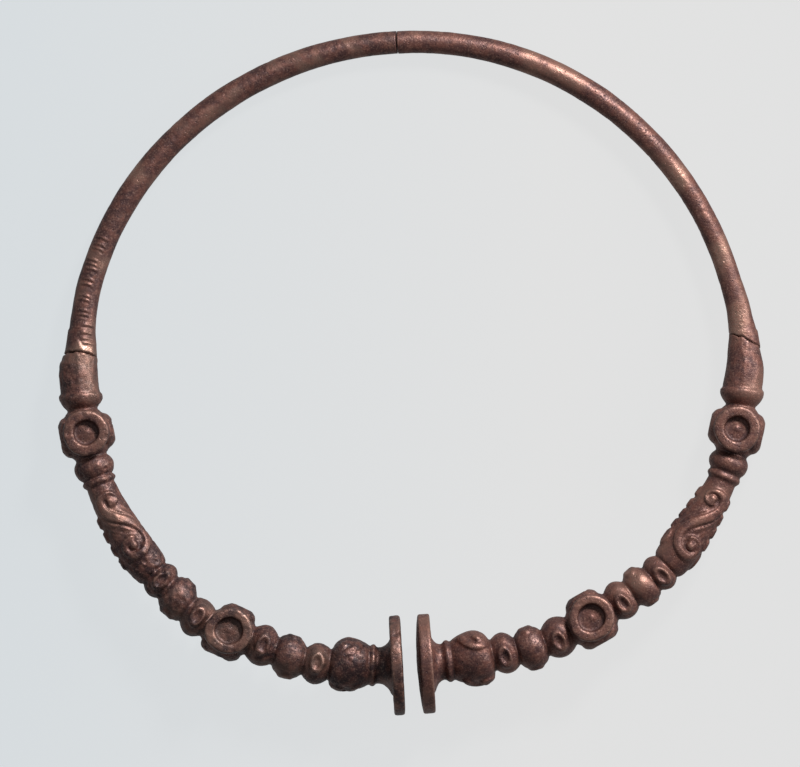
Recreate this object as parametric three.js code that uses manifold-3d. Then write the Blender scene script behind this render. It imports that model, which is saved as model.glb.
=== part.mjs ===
// A cast bronze neck ring with beaded arms and two facing discs, lying on a flat surface.
// Millimetres, +Z up. An arm is first built straight (X outward from the ring, Y along the arm
// from the gap between the discs, Z up), and then bent onto the ring's centre line.
import * as THREE from 'three';
import { mergeVertices } from 'three/addons/utils/BufferGeometryUtils.js';
import Module from 'manifold-3d';

// Centre line of the ring seen from above: a circle with low waves. Turns are degrees from +X.
const ringRadius = 68.7;
const ringWaves = [
  { lobes: 2, height: 2.24, turn: 8.9 },
  { lobes: 3, height: 0.95, turn: -23.2 },
  { lobes: 4, height: 0.33, turn: -34.4 },
];
const gapTurn = -90;
const backBreakTurn = 92;

// Discs at the ends of the arms. The front place is measured from the middle of the gap.
const discRadius = 10.6;
const discThickness = { right: 3.4, left: 2.45 };
const discEdgeRound = 0.35;
const discFrontPlace = { right: 1.75, left: 1.2 };
const discDome = { right: 0.75, left: 0.1 };
const discLean = { right: -1.1, left: -2 };
const trumpetRadius = 6.2;
const throatRadius = 3.85;
const trumpetShares = [-0.2, 0, 0.25, 0.55];

// Mouldings turned on each arm, from the throat behind the disc to the collar. The arms were
// shaped by hand, so a moulding has a length of its own on each. It also has its crest radius,
// the radius of the neck after it and the roundness of its outline.
const mouldingsStart = { right: 7.6, left: 6.9 };
const mouldings = [
  { name: 'throatRing', right: 1.7, left: 1.4, crest: 4.55, neck: 3.8, roundness: 2, rings: 3 },
  { name: 'ball', right: 8.5, left: 8.25, crest: 5.7, neck: 2.9, roundness: 2.5, rings: 6 },
  { name: 'faceEyes1', right: 5.45, left: 5.75, crest: 4.45, neck: 2.6, roundness: 2.2, rings: 5 },
  { name: 'sideEyes1', right: 5.85, left: 6.1, crest: 4.6, neck: 2.5, roundness: 2.4, rings: 5 },
  { name: 'faceEyes2', right: 6.2, left: 5.9, crest: 4.45, neck: 3, roundness: 2.2, rings: 5 },
  { name: 'cups1', right: 9.65, left: 9.45, crest: 4.9, neck: 3, roundness: 3, rings: 4 },
  { name: 'faceEyes3', right: 5.3, left: 5.25, crest: 4.3, neck: 2.8, roundness: 2.2, rings: 5 },
  { name: 'sideEyes2', right: 5.05, left: 5.9, crest: 4.4, neck: 2.8, roundness: 2.4, rings: 5 },
  { name: 'faceEyes4', right: 4.3, left: 4.4, crest: 4.1, neck: 3.1, roundness: 2.2, rings: 5 },
  {
    name: 'scrolls', right: 21.4, left: 22.1, crest: 4.7, thinCrest: 3.1, neck: 3, roundness: 3, rings: 8,
  },
  { name: 'smallRing', right: 1.75, left: 1.7, crest: 3.65, neck: 3.2, roundness: 2.2, rings: 3 },
  { name: 'torus', right: 4.25, left: 4.5, crest: 4.3, neck: 3.1, roundness: 2.4, rings: 4 },
  { name: 'cups2', right: 10.1, left: 10.2, crest: 4.9, neck: 3, roundness: 3, rings: 4 },
];

// How far each moulding stands outward of the ring's centre line, in the order of the list
const mouldingSways = {
  right: [0, 0, 0.6, 1.2, 1.05, 0.5, 0.4, 0.65, 1.1, 0.4, 0.6, 0.5, 0.15],
  left: [0, 0, 0.9, 0.8, 0.15, 0.35, 1.3, 0.45, 0.05, -0.3, -0.35, -0.35, -0.65],
};

// Collar that runs out into the hoop, and the two ends where an arm meets the hoop
const bellLength = { right: 3.7, left: 3.5 };
const bellRadius = 4.65;
const bellEndTurn = 110;
const bellTurns = [0, 25, 50, 75, 100];
const collarRadius = 4.2;
const collarLength = 18;
const hoopWidths = { right: [4.9, 4.65, 5.05, 4.75], left: [5.6, 5.2, 5.05, 4.8] };
const jointPlace = { right: 111.6, left: 110.3 };
const jointSlant = { right: 30, left: -4 };
const breakGap = 0.3;

// Round cup settings on the four sides of a cup bead
const cupReach = 5.8;
const faceCupRadius = 4.75;
const sideCupRadius = 3.9;
const cupRimWidth = 1.8;
const cupDepth = 1.7;
const cupNippleRadius = 0.6;
const cupNippleHeight = 0.5;

// Oval eyes: a raised lip round a hollow, longer across the arm than along it. The lip's width
// is a share of the eye's half width.
const eyeHalfAcross = 2.4;
const eyeHalfAlong = 1.55;
const eyeLipHeight = 0.3;
const eyeLipShare = 0.4;
const eyeDepth = 0.9;

// Scrolls: an S-shaped band that winds round a boss at each end. All relief is rooted a little
// below the surface that it stands on, and it narrows upwards.
const reliefRoot = 0.6;
const scrollMiddle = { right: 11.6, left: 12.7 };
const scrollAcross = { right: 0.45, left: -0.35 };
const scrollHeading = 35;
const scrollEndTurn = 290;
const scrollFatSize = 8.2;
const scrollThinSize = 7;
const scrollSpread = 1.15;
const scrollBandWidth = 1.6;
const scrollBandHeight = 0.5;
const scrollBossRadius = 1;
const scrollBossHeight = 0.75;
const bossTopShare = 0.6;
const bossShoulder = 0.8;

// Comma scroll on the ball, laid out round the middle of a face that is turned from the top. Its
// start is the arc across that face and the place along the ball.
const ballScrollFace = -35;
const ballScrollStart = { across: -1.9, along: 2.3 };
const ballScrollSize = 6;
const ballScrollHeading = 66;
const ballScrollWidth = 1.5;

// Scallops in a row along both edges of the scroll moulding, from its start
const scallopCount = 4;
const scallopStart = { right: 8.2, left: 5.5 };
const scallopPitch = { right: 2.95, left: 3.1 };
const scallopHalfLength = 1.3;
const scallopHalfWidth = 1.1;
const scallopHeight = 0.5;

// Small flats worn where the ring rests on its discs and on the back of its hoop
const restWear = 0.1;

// Fineness of the faceted surfaces
const armSides = 12;
const discSides = 32;
const cupSides = 12;
const eyeSides = 8;
const bossSides = 6;
const hoopStep = 6;
const bandStep = 1.3;

const fullTurn = 360;
const degree = (2 * Math.PI) / fullTurn;
const wasm = await Module();
wasm.setup();

// Solids: a closed three.js geometry becomes a manifold solid, and back again

function solidFrom(geometry) {
  const bare = geometry.clone();
  bare.deleteAttribute('normal');
  bare.deleteAttribute('uv');
  const merged = mergeVertices(bare, 1e-4);
  const corners = merged.index.array;
  const kept = [];
  for (let i = 0; i < corners.length; i += 3) {
    const [a, b, c] = corners.slice(i, i + 3);
    if (a !== b && b !== c && c !== a) kept.push(a, b, c);
  }
  return new wasm.Manifold(new wasm.Mesh({
    numProp: 3,
    vertProperties: new Float32Array(merged.attributes.position.array),
    triVerts: new Uint32Array(kept),
  }));
}

function geometryFrom(solid) {
  const mesh = solid.getMesh();
  const geometry = new THREE.BufferGeometry();
  const places = new THREE.BufferAttribute(new Float32Array(mesh.vertProperties), 3);
  geometry.setAttribute('position', places);
  geometry.setIndex(new THREE.BufferAttribute(new Uint32Array(mesh.triVerts), 1));
  return geometry;
}

function moveVertices(geometry, move) {
  const places = geometry.attributes.position;
  const point = new THREE.Vector3();
  for (let i = 0; i < places.count; i += 1) {
    move(point.fromBufferAttribute(places, i));
    places.setXYZ(i, point.x, point.y, point.z);
  }
  return geometry;
}

// The ring's centre line, from the middle of the gap counter-clockwise and back to it

function ringPoint(turn) {
  const waves = ringWaves.map((wave) => wave.height * Math.cos(wave.lobes * (turn - wave.turn) * degree));
  const radius = waves.reduce((sum, height) => sum + height, ringRadius);
  return new THREE.Vector3(radius * Math.cos(turn * degree), radius * Math.sin(turn * degree), 0);
}

class RingLine extends THREE.Curve {
  getPoint(share, target = new THREE.Vector3()) {
    return target.copy(ringPoint(gapTurn + fullTurn * share));
  }
}

const ringLine = new RingLine();
ringLine.arcLengthDivisions = 720;
const ringLength = ringLine.getLength();
const lengthsAlongRing = ringLine.getLengths();

function placeOfTurn(turn) {
  const division = (ringLine.arcLengthDivisions * (turn - gapTurn)) / fullTurn;
  return lengthsAlongRing[Math.round(division)];
}

const backBreakPlace = {
  right: placeOfTurn(backBreakTurn) - breakGap / 2,
  left: ringLength - placeOfTurn(backBreakTurn) - breakGap / 2,
};

// Outline of an arm: the radius at each place along it

function layOut(side) {
  let place = mouldingsStart[side];
  let neckBefore = throatRadius;
  return mouldings.map((moulding) => {
    const length = moulding[side];
    const laid = { ...moulding, length, start: place, middle: place + length / 2, neckBefore };
    place += length;
    neckBefore = moulding.neck;
    return laid;
  });
}

const laidMouldings = { right: layOut('right'), left: layOut('left') };
const lastNeck = mouldings[mouldings.length - 1].neck;

function bellStart(side) {
  const last = laidMouldings[side][mouldings.length - 1];
  return last.start + last.length;
}

function collarStart(side) {
  return bellStart(side) + bellLength[side];
}

// Outward stand of the arm at a place, eased from the middle of one moulding to the next
function swayAt(side, place) {
  const places = [mouldingsStart[side], ...laidMouldings[side].map((moulding) => moulding.middle)];
  places.push(collarStart(side) + collarLength);
  const sways = [0, ...mouldingSways[side], 0];
  const next = places.findIndex((station) => station > place);
  if (next < 1) return 0;
  const share = THREE.MathUtils.smoothstep(place, places[next - 1], places[next]);
  return sways[next - 1] + (sways[next] - sways[next - 1]) * share;
}

// Bends a straight arm onto the ring. The left arm runs clockwise, so its faces are turned over.
function bendOntoRing(geometry, side) {
  moveVertices(geometry, (point) => {
    const share = side === 'right' ? point.y / ringLength : 1 - point.y / ringLength;
    const tangent = ringLine.getTangentAt(share);
    const centre = ringLine.getPointAt(share);
    const outward = point.x + swayAt(side, point.y);
    point.set(centre.x + tangent.y * outward, centre.y - tangent.x * outward, point.z);
  });
  if (side === 'left') geometry.index.array.reverse();
  return geometry;
}

function mouldingRadius(moulding, place) {
  const share = (place - moulding.start) / moulding.length;
  const thinCrest = moulding.thinCrest ?? moulding.crest;
  const crest = moulding.crest + (thinCrest - moulding.crest) * share;
  const neck = moulding.neckBefore + (moulding.neck - moulding.neckBefore) * share;
  const swell = Math.max(0, 1 - Math.abs(2 * share - 1) ** moulding.roundness);
  return neck + (crest - neck) * swell ** (1 / moulding.roundness);
}

// Hoop radius past the collar, eased between widths given at even stations to the back break
function hoopRadius(side, place) {
  const widths = hoopWidths[side];
  const share = (place - collarStart(side)) / (backBreakPlace[side] - collarStart(side));
  const station = Math.min(Math.max(share, 0), 1) * (widths.length - 1);
  const before = Math.min(Math.floor(station), widths.length - 2);
  const eased = THREE.MathUtils.smoothstep(station - before, 0, 1);
  return (widths[before] + (widths[before + 1] - widths[before]) * eased) / 2;
}

function collarOrHoopRadius(side, place) {
  const hoop = hoopRadius(side, place);
  const start = collarStart(side);
  const fade = 1 - THREE.MathUtils.smoothstep(place, start, start + collarLength);
  return hoop + (collarRadius - hoop) * fade;
}

function cosineShares(count) {
  return Array.from({ length: count }, (unused, i) => (1 - Math.cos((Math.PI * i) / count)) / 2);
}

function armOutline(side) {
  const discBack = discFrontPlace[side] + discThickness[side];
  const outline = [new THREE.Vector2(0, discBack - discThickness[side] / 2)];
  const trumpetLength = mouldingsStart[side] - discBack;
  for (const share of trumpetShares) {
    const flare = Math.max(0, 1 - Math.max(0, share)) ** 3;
    const radius = throatRadius + (trumpetRadius - throatRadius) * flare;
    outline.push(new THREE.Vector2(radius, discBack + share * trumpetLength));
  }
  for (const moulding of laidMouldings[side]) {
    for (const share of cosineShares(moulding.rings)) {
      const place = moulding.start + share * moulding.length;
      outline.push(new THREE.Vector2(mouldingRadius(moulding, place), place));
    }
  }
  for (const turn of bellTurns) {
    const radius = lastNeck + (bellRadius - lastNeck) * Math.sin(turn * degree);
    outline.push(new THREE.Vector2(radius, bellStart(side) + (bellLength[side] * turn) / bellEndTurn));
  }
  const start = collarStart(side);
  const end = backBreakPlace[side];
  const steps = Math.ceil((end - start) / hoopStep);
  for (let i = 0; i <= steps; i += 1) {
    const place = start + ((end - start) * i) / steps;
    outline.push(new THREE.Vector2(collarOrHoopRadius(side, place), place));
  }
  outline.push(new THREE.Vector2(0, end));
  return outline;
}

// Disc: its front is a low dome and its rim edges are eased
function discSolid(side) {
  const front = discFrontPlace[side];
  const back = front + discThickness[side];
  const rimFront = front + discDome[side];
  const outline = [
    new THREE.Vector2(0, front),
    new THREE.Vector2(discRadius / 2, front + discDome[side] / 4),
    new THREE.Vector2(discRadius - discEdgeRound, rimFront),
    new THREE.Vector2(discRadius, rimFront + discEdgeRound),
    new THREE.Vector2(discRadius, back - discEdgeRound),
    new THREE.Vector2(discRadius - discEdgeRound, back),
    new THREE.Vector2(0, back),
  ];
  const middle = (front + back) / 2;
  const disc = new THREE.LatheGeometry(outline, discSides).translate(0, -middle, 0);
  return solidFrom(disc.rotateZ(discLean[side] * degree).translate(0, middle, 0));
}

// Turns a geometry made on the upper face to the outer side, the back or the inner side
function faceTowards(geometry, quarter) {
  return geometry.rotateY(quarter * 90 * degree);
}

// Wraps a flat relief round the arm: X is the arc across, Y the place along, Z the height
function wrapRound(geometry, moulding) {
  return moveVertices(geometry, (point) => {
    const radius = mouldingRadius(moulding, point.y) + point.z;
    const angle = point.x / moulding.crest;
    point.set(radius * Math.sin(angle), point.y, radius * Math.cos(angle));
  });
}

// Cup settings: a round disc on each side of the bead, then a hollow with a nipple in each
function cupBlank(radius) {
  const outline = [
    new THREE.Vector2(0, 0),
    new THREE.Vector2(radius, 0),
    new THREE.Vector2(radius, cupReach),
    new THREE.Vector2(0, cupReach),
  ];
  return new THREE.LatheGeometry(outline, cupSides).rotateX(90 * degree);
}

function cupHollow(radius) {
  const hollowRadius = radius - cupRimWidth;
  const floor = cupReach - cupDepth;
  const above = cupReach + cupDepth;
  const outline = [
    new THREE.Vector2(0, floor + cupNippleHeight),
    new THREE.Vector2(cupNippleRadius, floor),
    new THREE.Vector2(hollowRadius, floor),
    new THREE.Vector2(hollowRadius, above),
    new THREE.Vector2(0, above),
  ];
  return new THREE.LatheGeometry(outline, cupSides).rotateX(90 * degree);
}

function addCups(arm, moulding) {
  let carved = arm;
  const quarters = [0, 1, 2, 3];
  const cupRadiusOf = (quarter) => (quarter % 2 === 0 ? faceCupRadius : sideCupRadius);
  for (const quarter of quarters) {
    const blank = faceTowards(cupBlank(cupRadiusOf(quarter)), quarter);
    carved = carved.add(solidFrom(blank.translate(0, moulding.middle, 0)));
  }
  for (const quarter of quarters) {
    const hollow = faceTowards(cupHollow(cupRadiusOf(quarter)), quarter);
    carved = carved.subtract(solidFrom(hollow.translate(0, moulding.middle, 0)));
  }
  return carved;
}

// Oval eye: a low raised oval on the bead, and a bowl sunk in it that leaves the lip
function eyePiece(outline, moulding, quarter) {
  const piece = new THREE.LatheGeometry(outline, eyeSides).rotateX(90 * degree);
  piece.scale(eyeHalfAcross, eyeHalfAlong, 1).translate(0, moulding.middle, 0);
  return solidFrom(faceTowards(wrapRound(piece, moulding), quarter));
}

function addEyes(arm, moulding, quarters) {
  const bowl = 1 - eyeLipShare;
  const raised = [
    new THREE.Vector2(0, -eyeDepth),
    new THREE.Vector2(1, -eyeDepth),
    new THREE.Vector2(1 - eyeLipShare / 2, eyeLipHeight),
    new THREE.Vector2(0, eyeLipHeight),
  ];
  const hollow = [
    new THREE.Vector2(0, -eyeDepth),
    new THREE.Vector2(bowl, eyeLipHeight),
    new THREE.Vector2(bowl, eyeLipHeight + eyeDepth),
    new THREE.Vector2(0, eyeLipHeight + eyeDepth),
  ];
  let carved = arm;
  for (const quarter of quarters) {
    carved = carved.add(eyePiece(raised, moulding, quarter));
    carved = carved.subtract(eyePiece(hollow, moulding, quarter));
  }
  return carved;
}

// One arm of a scroll: it leaves straight and its turn grows with the square of the length
function scrollPoints(start, heading, size) {
  const step = bandStep;
  const end = Math.sqrt((2 * scrollEndTurn) / 180) * size;
  const count = Math.ceil(end / step);
  const points = [start.clone()];
  const place = start.clone();
  for (let i = 0; i < count; i += 1) {
    const travelled = ((i + 0.5) * end) / count;
    const turned = 90 * (travelled / size) ** 2;
    const direction = (heading - turned) * degree;
    const across = Math.sin(direction) * scrollSpread;
    place.add(new THREE.Vector3(across, Math.cos(direction), 0).multiplyScalar(end / count));
    points.push(place.clone());
  }
  return points;
}

// A band with a flat top half as wide as its foot. The section's X points down into the surface.
function bandAlong(points, width) {
  const section = new THREE.Shape([
    new THREE.Vector2(reliefRoot, -width / 2),
    new THREE.Vector2(reliefRoot, width / 2),
    new THREE.Vector2(-scrollBandHeight, width / 4),
    new THREE.Vector2(-scrollBandHeight, -width / 4),
  ]);
  const route = new THREE.CatmullRomCurve3(points);
  const options = { steps: points.length - 1, extrudePath: route, bevelEnabled: false };
  return new THREE.ExtrudeGeometry(section, options);
}

// A low boss facing up, with its widest part at its root
function boss(halfAcross, halfAlong, height) {
  const outline = [
    new THREE.Vector2(0, -reliefRoot),
    new THREE.Vector2(1, -reliefRoot),
    new THREE.Vector2(bossTopShare, height * bossShoulder),
    new THREE.Vector2(0, height),
  ];
  const turned = new THREE.LatheGeometry(outline, bossSides).rotateX(90 * degree);
  return turned.scale(halfAcross, halfAlong, 1);
}

function scrollBoss(point) {
  return boss(scrollBossRadius, scrollBossRadius, scrollBossHeight).translate(point.x, point.y, 0);
}

function scrollRelief(moulding, side) {
  const middle = new THREE.Vector3(scrollAcross[side], moulding.start + scrollMiddle[side], 0);
  const thinEnd = scrollPoints(middle, scrollHeading, scrollThinSize);
  const fatEnd = scrollPoints(middle, scrollHeading + 180, scrollFatSize);
  const route = [...fatEnd.slice(1).reverse(), ...thinEnd];
  return [
    bandAlong(route, scrollBandWidth),
    scrollBoss(scrollEye(middle, scrollHeading, scrollThinSize)),
    scrollBoss(scrollEye(middle, scrollHeading + 180, scrollFatSize)),
  ];
}

// The point that a scroll winds round lies half its size ahead and half its size to the side
function scrollEye(start, heading, size) {
  const direction = (heading - 45) * degree;
  const reach = size * Math.SQRT1_2;
  const across = Math.sin(direction) * reach * scrollSpread;
  return new THREE.Vector3(start.x + across, start.y + Math.cos(direction) * reach, 0);
}

function ballRelief(moulding) {
  const { across, along } = ballScrollStart;
  const start = new THREE.Vector3(across, moulding.start + along, 0);
  return [
    bandAlong(scrollPoints(start, ballScrollHeading, ballScrollSize), ballScrollWidth),
    scrollBoss(scrollEye(start, ballScrollHeading, ballScrollSize)),
  ];
}

// Relief on one face of a moulding. The face that lies underneath stays plain.
function addRelief(arm, moulding, pieces, faceTurn = 0) {
  let carved = arm;
  for (const piece of pieces) {
    const turned = wrapRound(piece, moulding).rotateY(faceTurn * degree);
    carved = carved.add(solidFrom(turned));
  }
  return carved;
}

function addScallops(arm, moulding, side) {
  let carved = arm;
  for (const quarter of [1, 3]) {
    for (let i = 0; i < scallopCount; i += 1) {
      const place = moulding.start + scallopStart[side] + i * scallopPitch[side];
      const scallop = boss(scallopHalfWidth, scallopHalfLength, scallopHeight);
      const wrapped = wrapRound(scallop.translate(0, place, 0), moulding);
      carved = carved.add(solidFrom(faceTowards(wrapped, quarter)));
    }
  }
  return carved;
}

// A slanted break across the arm: everything on one side of it
function blockPastJoint(side, towardsHoop) {
  const size = 2 * ringLength;
  const block = new THREE.BoxGeometry(size, size, size);
  const offset = towardsHoop ? size / 2 : -size / 2;
  block.translate(0, offset + (towardsHoop ? -breakGap : breakGap) / 2, 0);
  return solidFrom(block.rotateZ(-jointSlant[side] * degree).translate(0, jointPlace[side], 0));
}

function carvedArm(side) {
  let arm = solidFrom(new THREE.LatheGeometry(armOutline(side), armSides));
  arm = arm.add(discSolid(side));
  for (const moulding of laidMouldings[side]) {
    if (moulding.name.startsWith('cups')) arm = addCups(arm, moulding);
    if (moulding.name.startsWith('faceEyes')) arm = addEyes(arm, moulding, [0, 2]);
    if (moulding.name.startsWith('sideEyes')) arm = addEyes(arm, moulding, [1, 3]);
    if (moulding.name === 'ball') {
      arm = addRelief(arm, moulding, ballRelief(moulding), ballScrollFace);
    }
    if (moulding.name === 'scrolls') {
      arm = addRelief(arm, moulding, scrollRelief(moulding, side));
      arm = addScallops(arm, moulding, side);
    }
  }
  return arm;
}

// Lying down: the discs are wider than the hoop, so the ring leans back on a plane that touches
// the rims of both discs and the back of the hoop
const laid = new THREE.Group();
const discMiddle = ringLine.getPointAt(discFrontPlace.right / ringLength);
const hoopBack = ringPoint(backBreakTurn);
const backRadius = hoopWidths.right[hoopWidths.right.length - 1] / 2;
laid.rotation.x = -Math.asin((discRadius - backRadius) / (hoopBack.y - discMiddle.y));
laid.position.z = discRadius - discMiddle.y * Math.sin(laid.rotation.x) - restWear;
laid.updateMatrixWorld();

function belowFloor() {
  const size = 4 * ringRadius;
  const block = new THREE.BoxGeometry(size, size, size).translate(0, 0, -size / 2);
  return solidFrom(block.applyMatrix4(laid.matrixWorld.clone().invert()));
}

function addPiece(name, straight, side, material) {
  const bent = bendOntoRing(geometryFrom(straight), side);
  const piece = new THREE.Mesh(geometryFrom(solidFrom(bent).subtract(belowFloor())), material);
  piece.name = name;
  laid.add(piece);
}

const castBronze = new THREE.MeshStandardMaterial({ color: 0x6e4b41, roughness: 0.45, metalness: 0.85 });
const hoopBronze = new THREE.MeshStandardMaterial({ color: 0x7a5648, roughness: 0.4, metalness: 0.85 });

for (const side of ['right', 'left']) {
  const arm = carvedArm(side);
  addPiece(`terminal_${side}`, arm.subtract(blockPastJoint(side, true)), side, castBronze);
  addPiece(`hoop_${side}`, arm.subtract(blockPastJoint(side, false)), side, hoopBronze);
}

// The origin is under the middle of the ring's box
const box = new THREE.Box3().setFromObject(laid, true);
laid.position.x -= (box.min.x + box.max.x) / 2;
laid.position.y -= (box.min.y + box.max.y) / 2;

const neckRing = new THREE.Group();
neckRing.add(laid);

export default neckRing;
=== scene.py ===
"""A cast bronze neck ring with beaded arms, round cup settings and two facing discs.

Each arm is worked out straight, in millimetres: X outward from the ring, Y along the arm from the
gap between the discs, Z up. It is then bent onto the ring's centre line, laid down and put in metres.
"""

import math

import bpy
import numpy as np
from bpy.props import FloatProperty, FloatVectorProperty, IntProperty, PointerProperty
from bpy.types import Operator, Panel, PropertyGroup
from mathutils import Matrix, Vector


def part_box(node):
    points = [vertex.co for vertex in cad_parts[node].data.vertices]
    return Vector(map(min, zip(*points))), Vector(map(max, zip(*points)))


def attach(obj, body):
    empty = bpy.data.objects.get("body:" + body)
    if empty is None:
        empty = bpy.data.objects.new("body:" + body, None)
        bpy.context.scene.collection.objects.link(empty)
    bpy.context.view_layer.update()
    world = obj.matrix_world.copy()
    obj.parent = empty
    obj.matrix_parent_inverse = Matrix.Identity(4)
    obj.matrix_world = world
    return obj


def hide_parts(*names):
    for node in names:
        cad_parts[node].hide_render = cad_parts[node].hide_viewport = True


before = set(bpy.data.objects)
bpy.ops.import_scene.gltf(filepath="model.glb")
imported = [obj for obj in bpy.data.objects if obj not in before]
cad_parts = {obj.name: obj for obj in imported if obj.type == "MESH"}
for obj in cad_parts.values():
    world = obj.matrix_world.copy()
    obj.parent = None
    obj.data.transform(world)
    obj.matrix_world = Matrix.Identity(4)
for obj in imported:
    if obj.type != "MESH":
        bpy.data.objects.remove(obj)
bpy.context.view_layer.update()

bl_info = {
    "name": "Bronze Neck Ring",
    "version": (1, 0, 0),
    "blender": (4, 5, 0),
    "location": "3D View > Sidebar > Neck Ring",
    "description": "A cast bronze neck ring over its fixed frame",
    "category": "Add Mesh",
}

MM = 0.001
SIDES = ("right", "left")
STATIONS_PER_DEGREE = 4

# Centre line of the ring seen from above: a circle with low waves (lobes, height, turn in degrees)
RING_RADIUS = 68.7
RING_WAVES = ((2, 2.24, 8.9), (3, 0.95, -23.2), (4, 0.33, -34.4))
GAP_TURN = -90.0
BACK_BREAK_TURN = 92.0

# Discs at the ends of the arms
DISC_RADIUS = 10.6
DISC_THICKNESS = {"right": 3.4, "left": 2.45}
DISC_EDGE_ROUND = 0.4
EDGE_CORNER = 0.3
DISC_FRONT_PLACE = {"right": 1.75, "left": 1.2}
DISC_DOME = {"right": 0.75, "left": 0.1}
DISC_LEAN = {"right": -1.1, "left": -2.0}
DISC_WEDGE = {"right": 0.1, "left": 0.13}

# Points of the disc's front between its middle and its edge, as shares of its radius and its dome
DISC_FRONT = ((0.5, 0.25), (0.8, 0.62))
DISC_AXIS_GAP = 0.05
DISC_ROWS = 130
DISC_COLUMNS = 240

# Trumpet between the disc and the mouldings
TRUMPET_RADIUS = 6.2
THROAT_RADIUS = 3.85

# Turned mouldings in order: name, length on the right and the left arm, crest radius, thin-end crest,
# neck after it, roundness
MOULDINGS_START = {"right": 7.6, "left": 6.9}
MOULDINGS = (
    ("throat_ring", 1.7, 1.4, 4.55, 4.55, 3.8, 1.3),
    ("ball", 8.5, 8.25, 5.7, 5.7, 2.9, 2.3),
    ("face_eyes_1", 5.45, 5.75, 4.45, 4.45, 2.5, 1.4),
    ("side_eyes_1", 5.85, 6.1, 4.6, 4.6, 2.5, 2.5),
    ("face_eyes_2", 6.2, 5.9, 4.45, 4.45, 2.9, 1.4),
    ("cups_1", 9.65, 9.45, 4.9, 4.9, 2.9, 2.0),
    ("face_eyes_3", 5.3, 5.25, 4.3, 4.3, 2.7, 1.4),
    ("side_eyes_2", 5.05, 5.9, 4.4, 4.4, 2.7, 2.5),
    ("face_eyes_4", 4.3, 4.4, 4.1, 4.1, 2.9, 1.4),
    ("scrolls", 21.4, 22.1, 4.7, 3.1, 3.0, 3.4),
    ("small_ring", 1.75, 1.7, 3.65, 3.65, 3.1, 1.3),
    ("torus", 4.25, 4.5, 4.3, 4.3, 3.0, 1.5),
    ("cups_2", 10.1, 10.2, 4.9, 4.9, 2.9, 2.0),
)
BALL_SKEW = 1.3

# Outward stand of the arm in the middle of each moulding, and of the collar and the hoop's start at
# some places along them
MOULDING_SWAYS = {
    "right": (0, 0, 0.6, 1.2, 1.05, 0.5, 0.4, 0.65, 1.1, 0.4, 0.6, 0.5, 0.15),
    "left": (0, 0, 0.9, 0.8, 0.15, 0.35, 1.3, 0.45, 0.05, -0.3, -0.35, -0.35, -0.65),
}
COLLAR_SWAYS = {
    "right": ((100.5, 0.12), (107.0, 0.44), (111.5, 0.38), (116.5, 0.13)),
    "left": ((100.0, -0.5), (105.0, -0.3), (111.5, -0.55), (115.5, -0.36)),
}
COLLAR_SWAY_END = 126.0

# Collar that runs out into the hoop, and the breaks between the pieces
BELL_LENGTH = {"right": 3.7, "left": 3.5}
BELL_RADIUS = 4.65
BELL_END_TURN = 110.0
COLLAR_RADIUS = 4.2
COLLAR_LENGTH = 18.0
HOOP_WIDTHS = {"right": (4.9, 4.65, 5.05, 4.75), "left": (5.6, 5.2, 5.05, 4.8)}
JOINT_PLACE = {"right": 111.0, "left": 109.8}
JOINT_SLANT = {"right": 30.0, "left": -4.0}
BREAK_GAP = 0.3
BREAK_LEAN = 0.13

# Grid over the plain hoop that its reach is read from: how far past the joint it starts, rows, turn
HOOP_GRID_START = 4.0
HOOP_GRID_ROWS = 400
HOOP_GRID_TURN = 3.0

# Cup settings
CUP_REACH = 5.8
CUP_RADII = {"face": 4.9, "side": 4.1}
CUP_HOLLOWS = {"cups_1": {"face": 2.95, "side": 1.9}, "cups_2": {"face": 2.7, "side": 1.9}}
CUP_SHOULDERS = {
    "face": ((4.4, 0.0), (4.66, -0.08), (4.83, -0.3), (4.9, -0.7)),
    "side": ((2.4, 0.0), (2.85, -0.16), (3.15, -0.45), (3.4, -0.5), (3.8, -0.95), (4.1, -1.6)),
}
CUP_DEPTH = 1.45

# Profile as radius and height: the nipple and the wall stand on the floor, the lip and the foot hang
# from the reach. The wall and the lip are counted from the hollow's radius, and the foot's radius is
# a share of the cup's.
CUP_NIPPLE = ((0.03, 0.34), (0.35, 0.26), (0.75, 0.06))
CUP_WALL = ((-0.35, 0.0), (-0.08, 0.2))
CUP_LIP = ((0.0, -0.3), (0.1, -0.07), (0.25, 0.0))
CUP_FOOT = ((1.0, -2.0), (0.86, -2.7), (0.7, -3.1))
CUP_AXIS_GAP = 0.03
CUP_ROWS = 120
CUP_COLUMNS = 150

# Depth that the weight of the ring has worn from each place where it rests
REST_WEAR = 0.1


def smooth(low, high, value):
    """Rises from 0 to 1 between low and high, flat at both ends."""
    share = np.clip((value - low) / (high - low), 0.0, 1.0)
    return share * share * (3.0 - 2.0 * share)


# Noise: a fixed scramble of whole-number cells, so every run gives the same surface

SCRAMBLE_FACTORS = (374761393, 668265263, 2246822519)
SCRAMBLE_SPREAD = np.uint64(1274126177)
SCRAMBLE_SHIFT = np.uint64(15)
SCRAMBLE_MASK = np.uint64(0xFFFFFFFF)


def cell_random(cells, seed):
    """A number from 0 to 1 for each whole-number cell, by a fixed integer scramble."""
    start = seed * SCRAMBLE_FACTORS[1] % (int(SCRAMBLE_MASK) + 1)
    mixed = np.full(cells.shape[:-1], start, np.uint64)
    for axis, factor in enumerate(SCRAMBLE_FACTORS):
        mixed = mixed ^ (cells[..., axis].astype(np.int64).astype(np.uint64) * np.uint64(factor))
        mixed = (mixed & SCRAMBLE_MASK) * SCRAMBLE_SPREAD
        mixed = (mixed ^ (mixed >> SCRAMBLE_SHIFT)) & SCRAMBLE_MASK
    return mixed.astype(np.float64) / float(SCRAMBLE_MASK)


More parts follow.
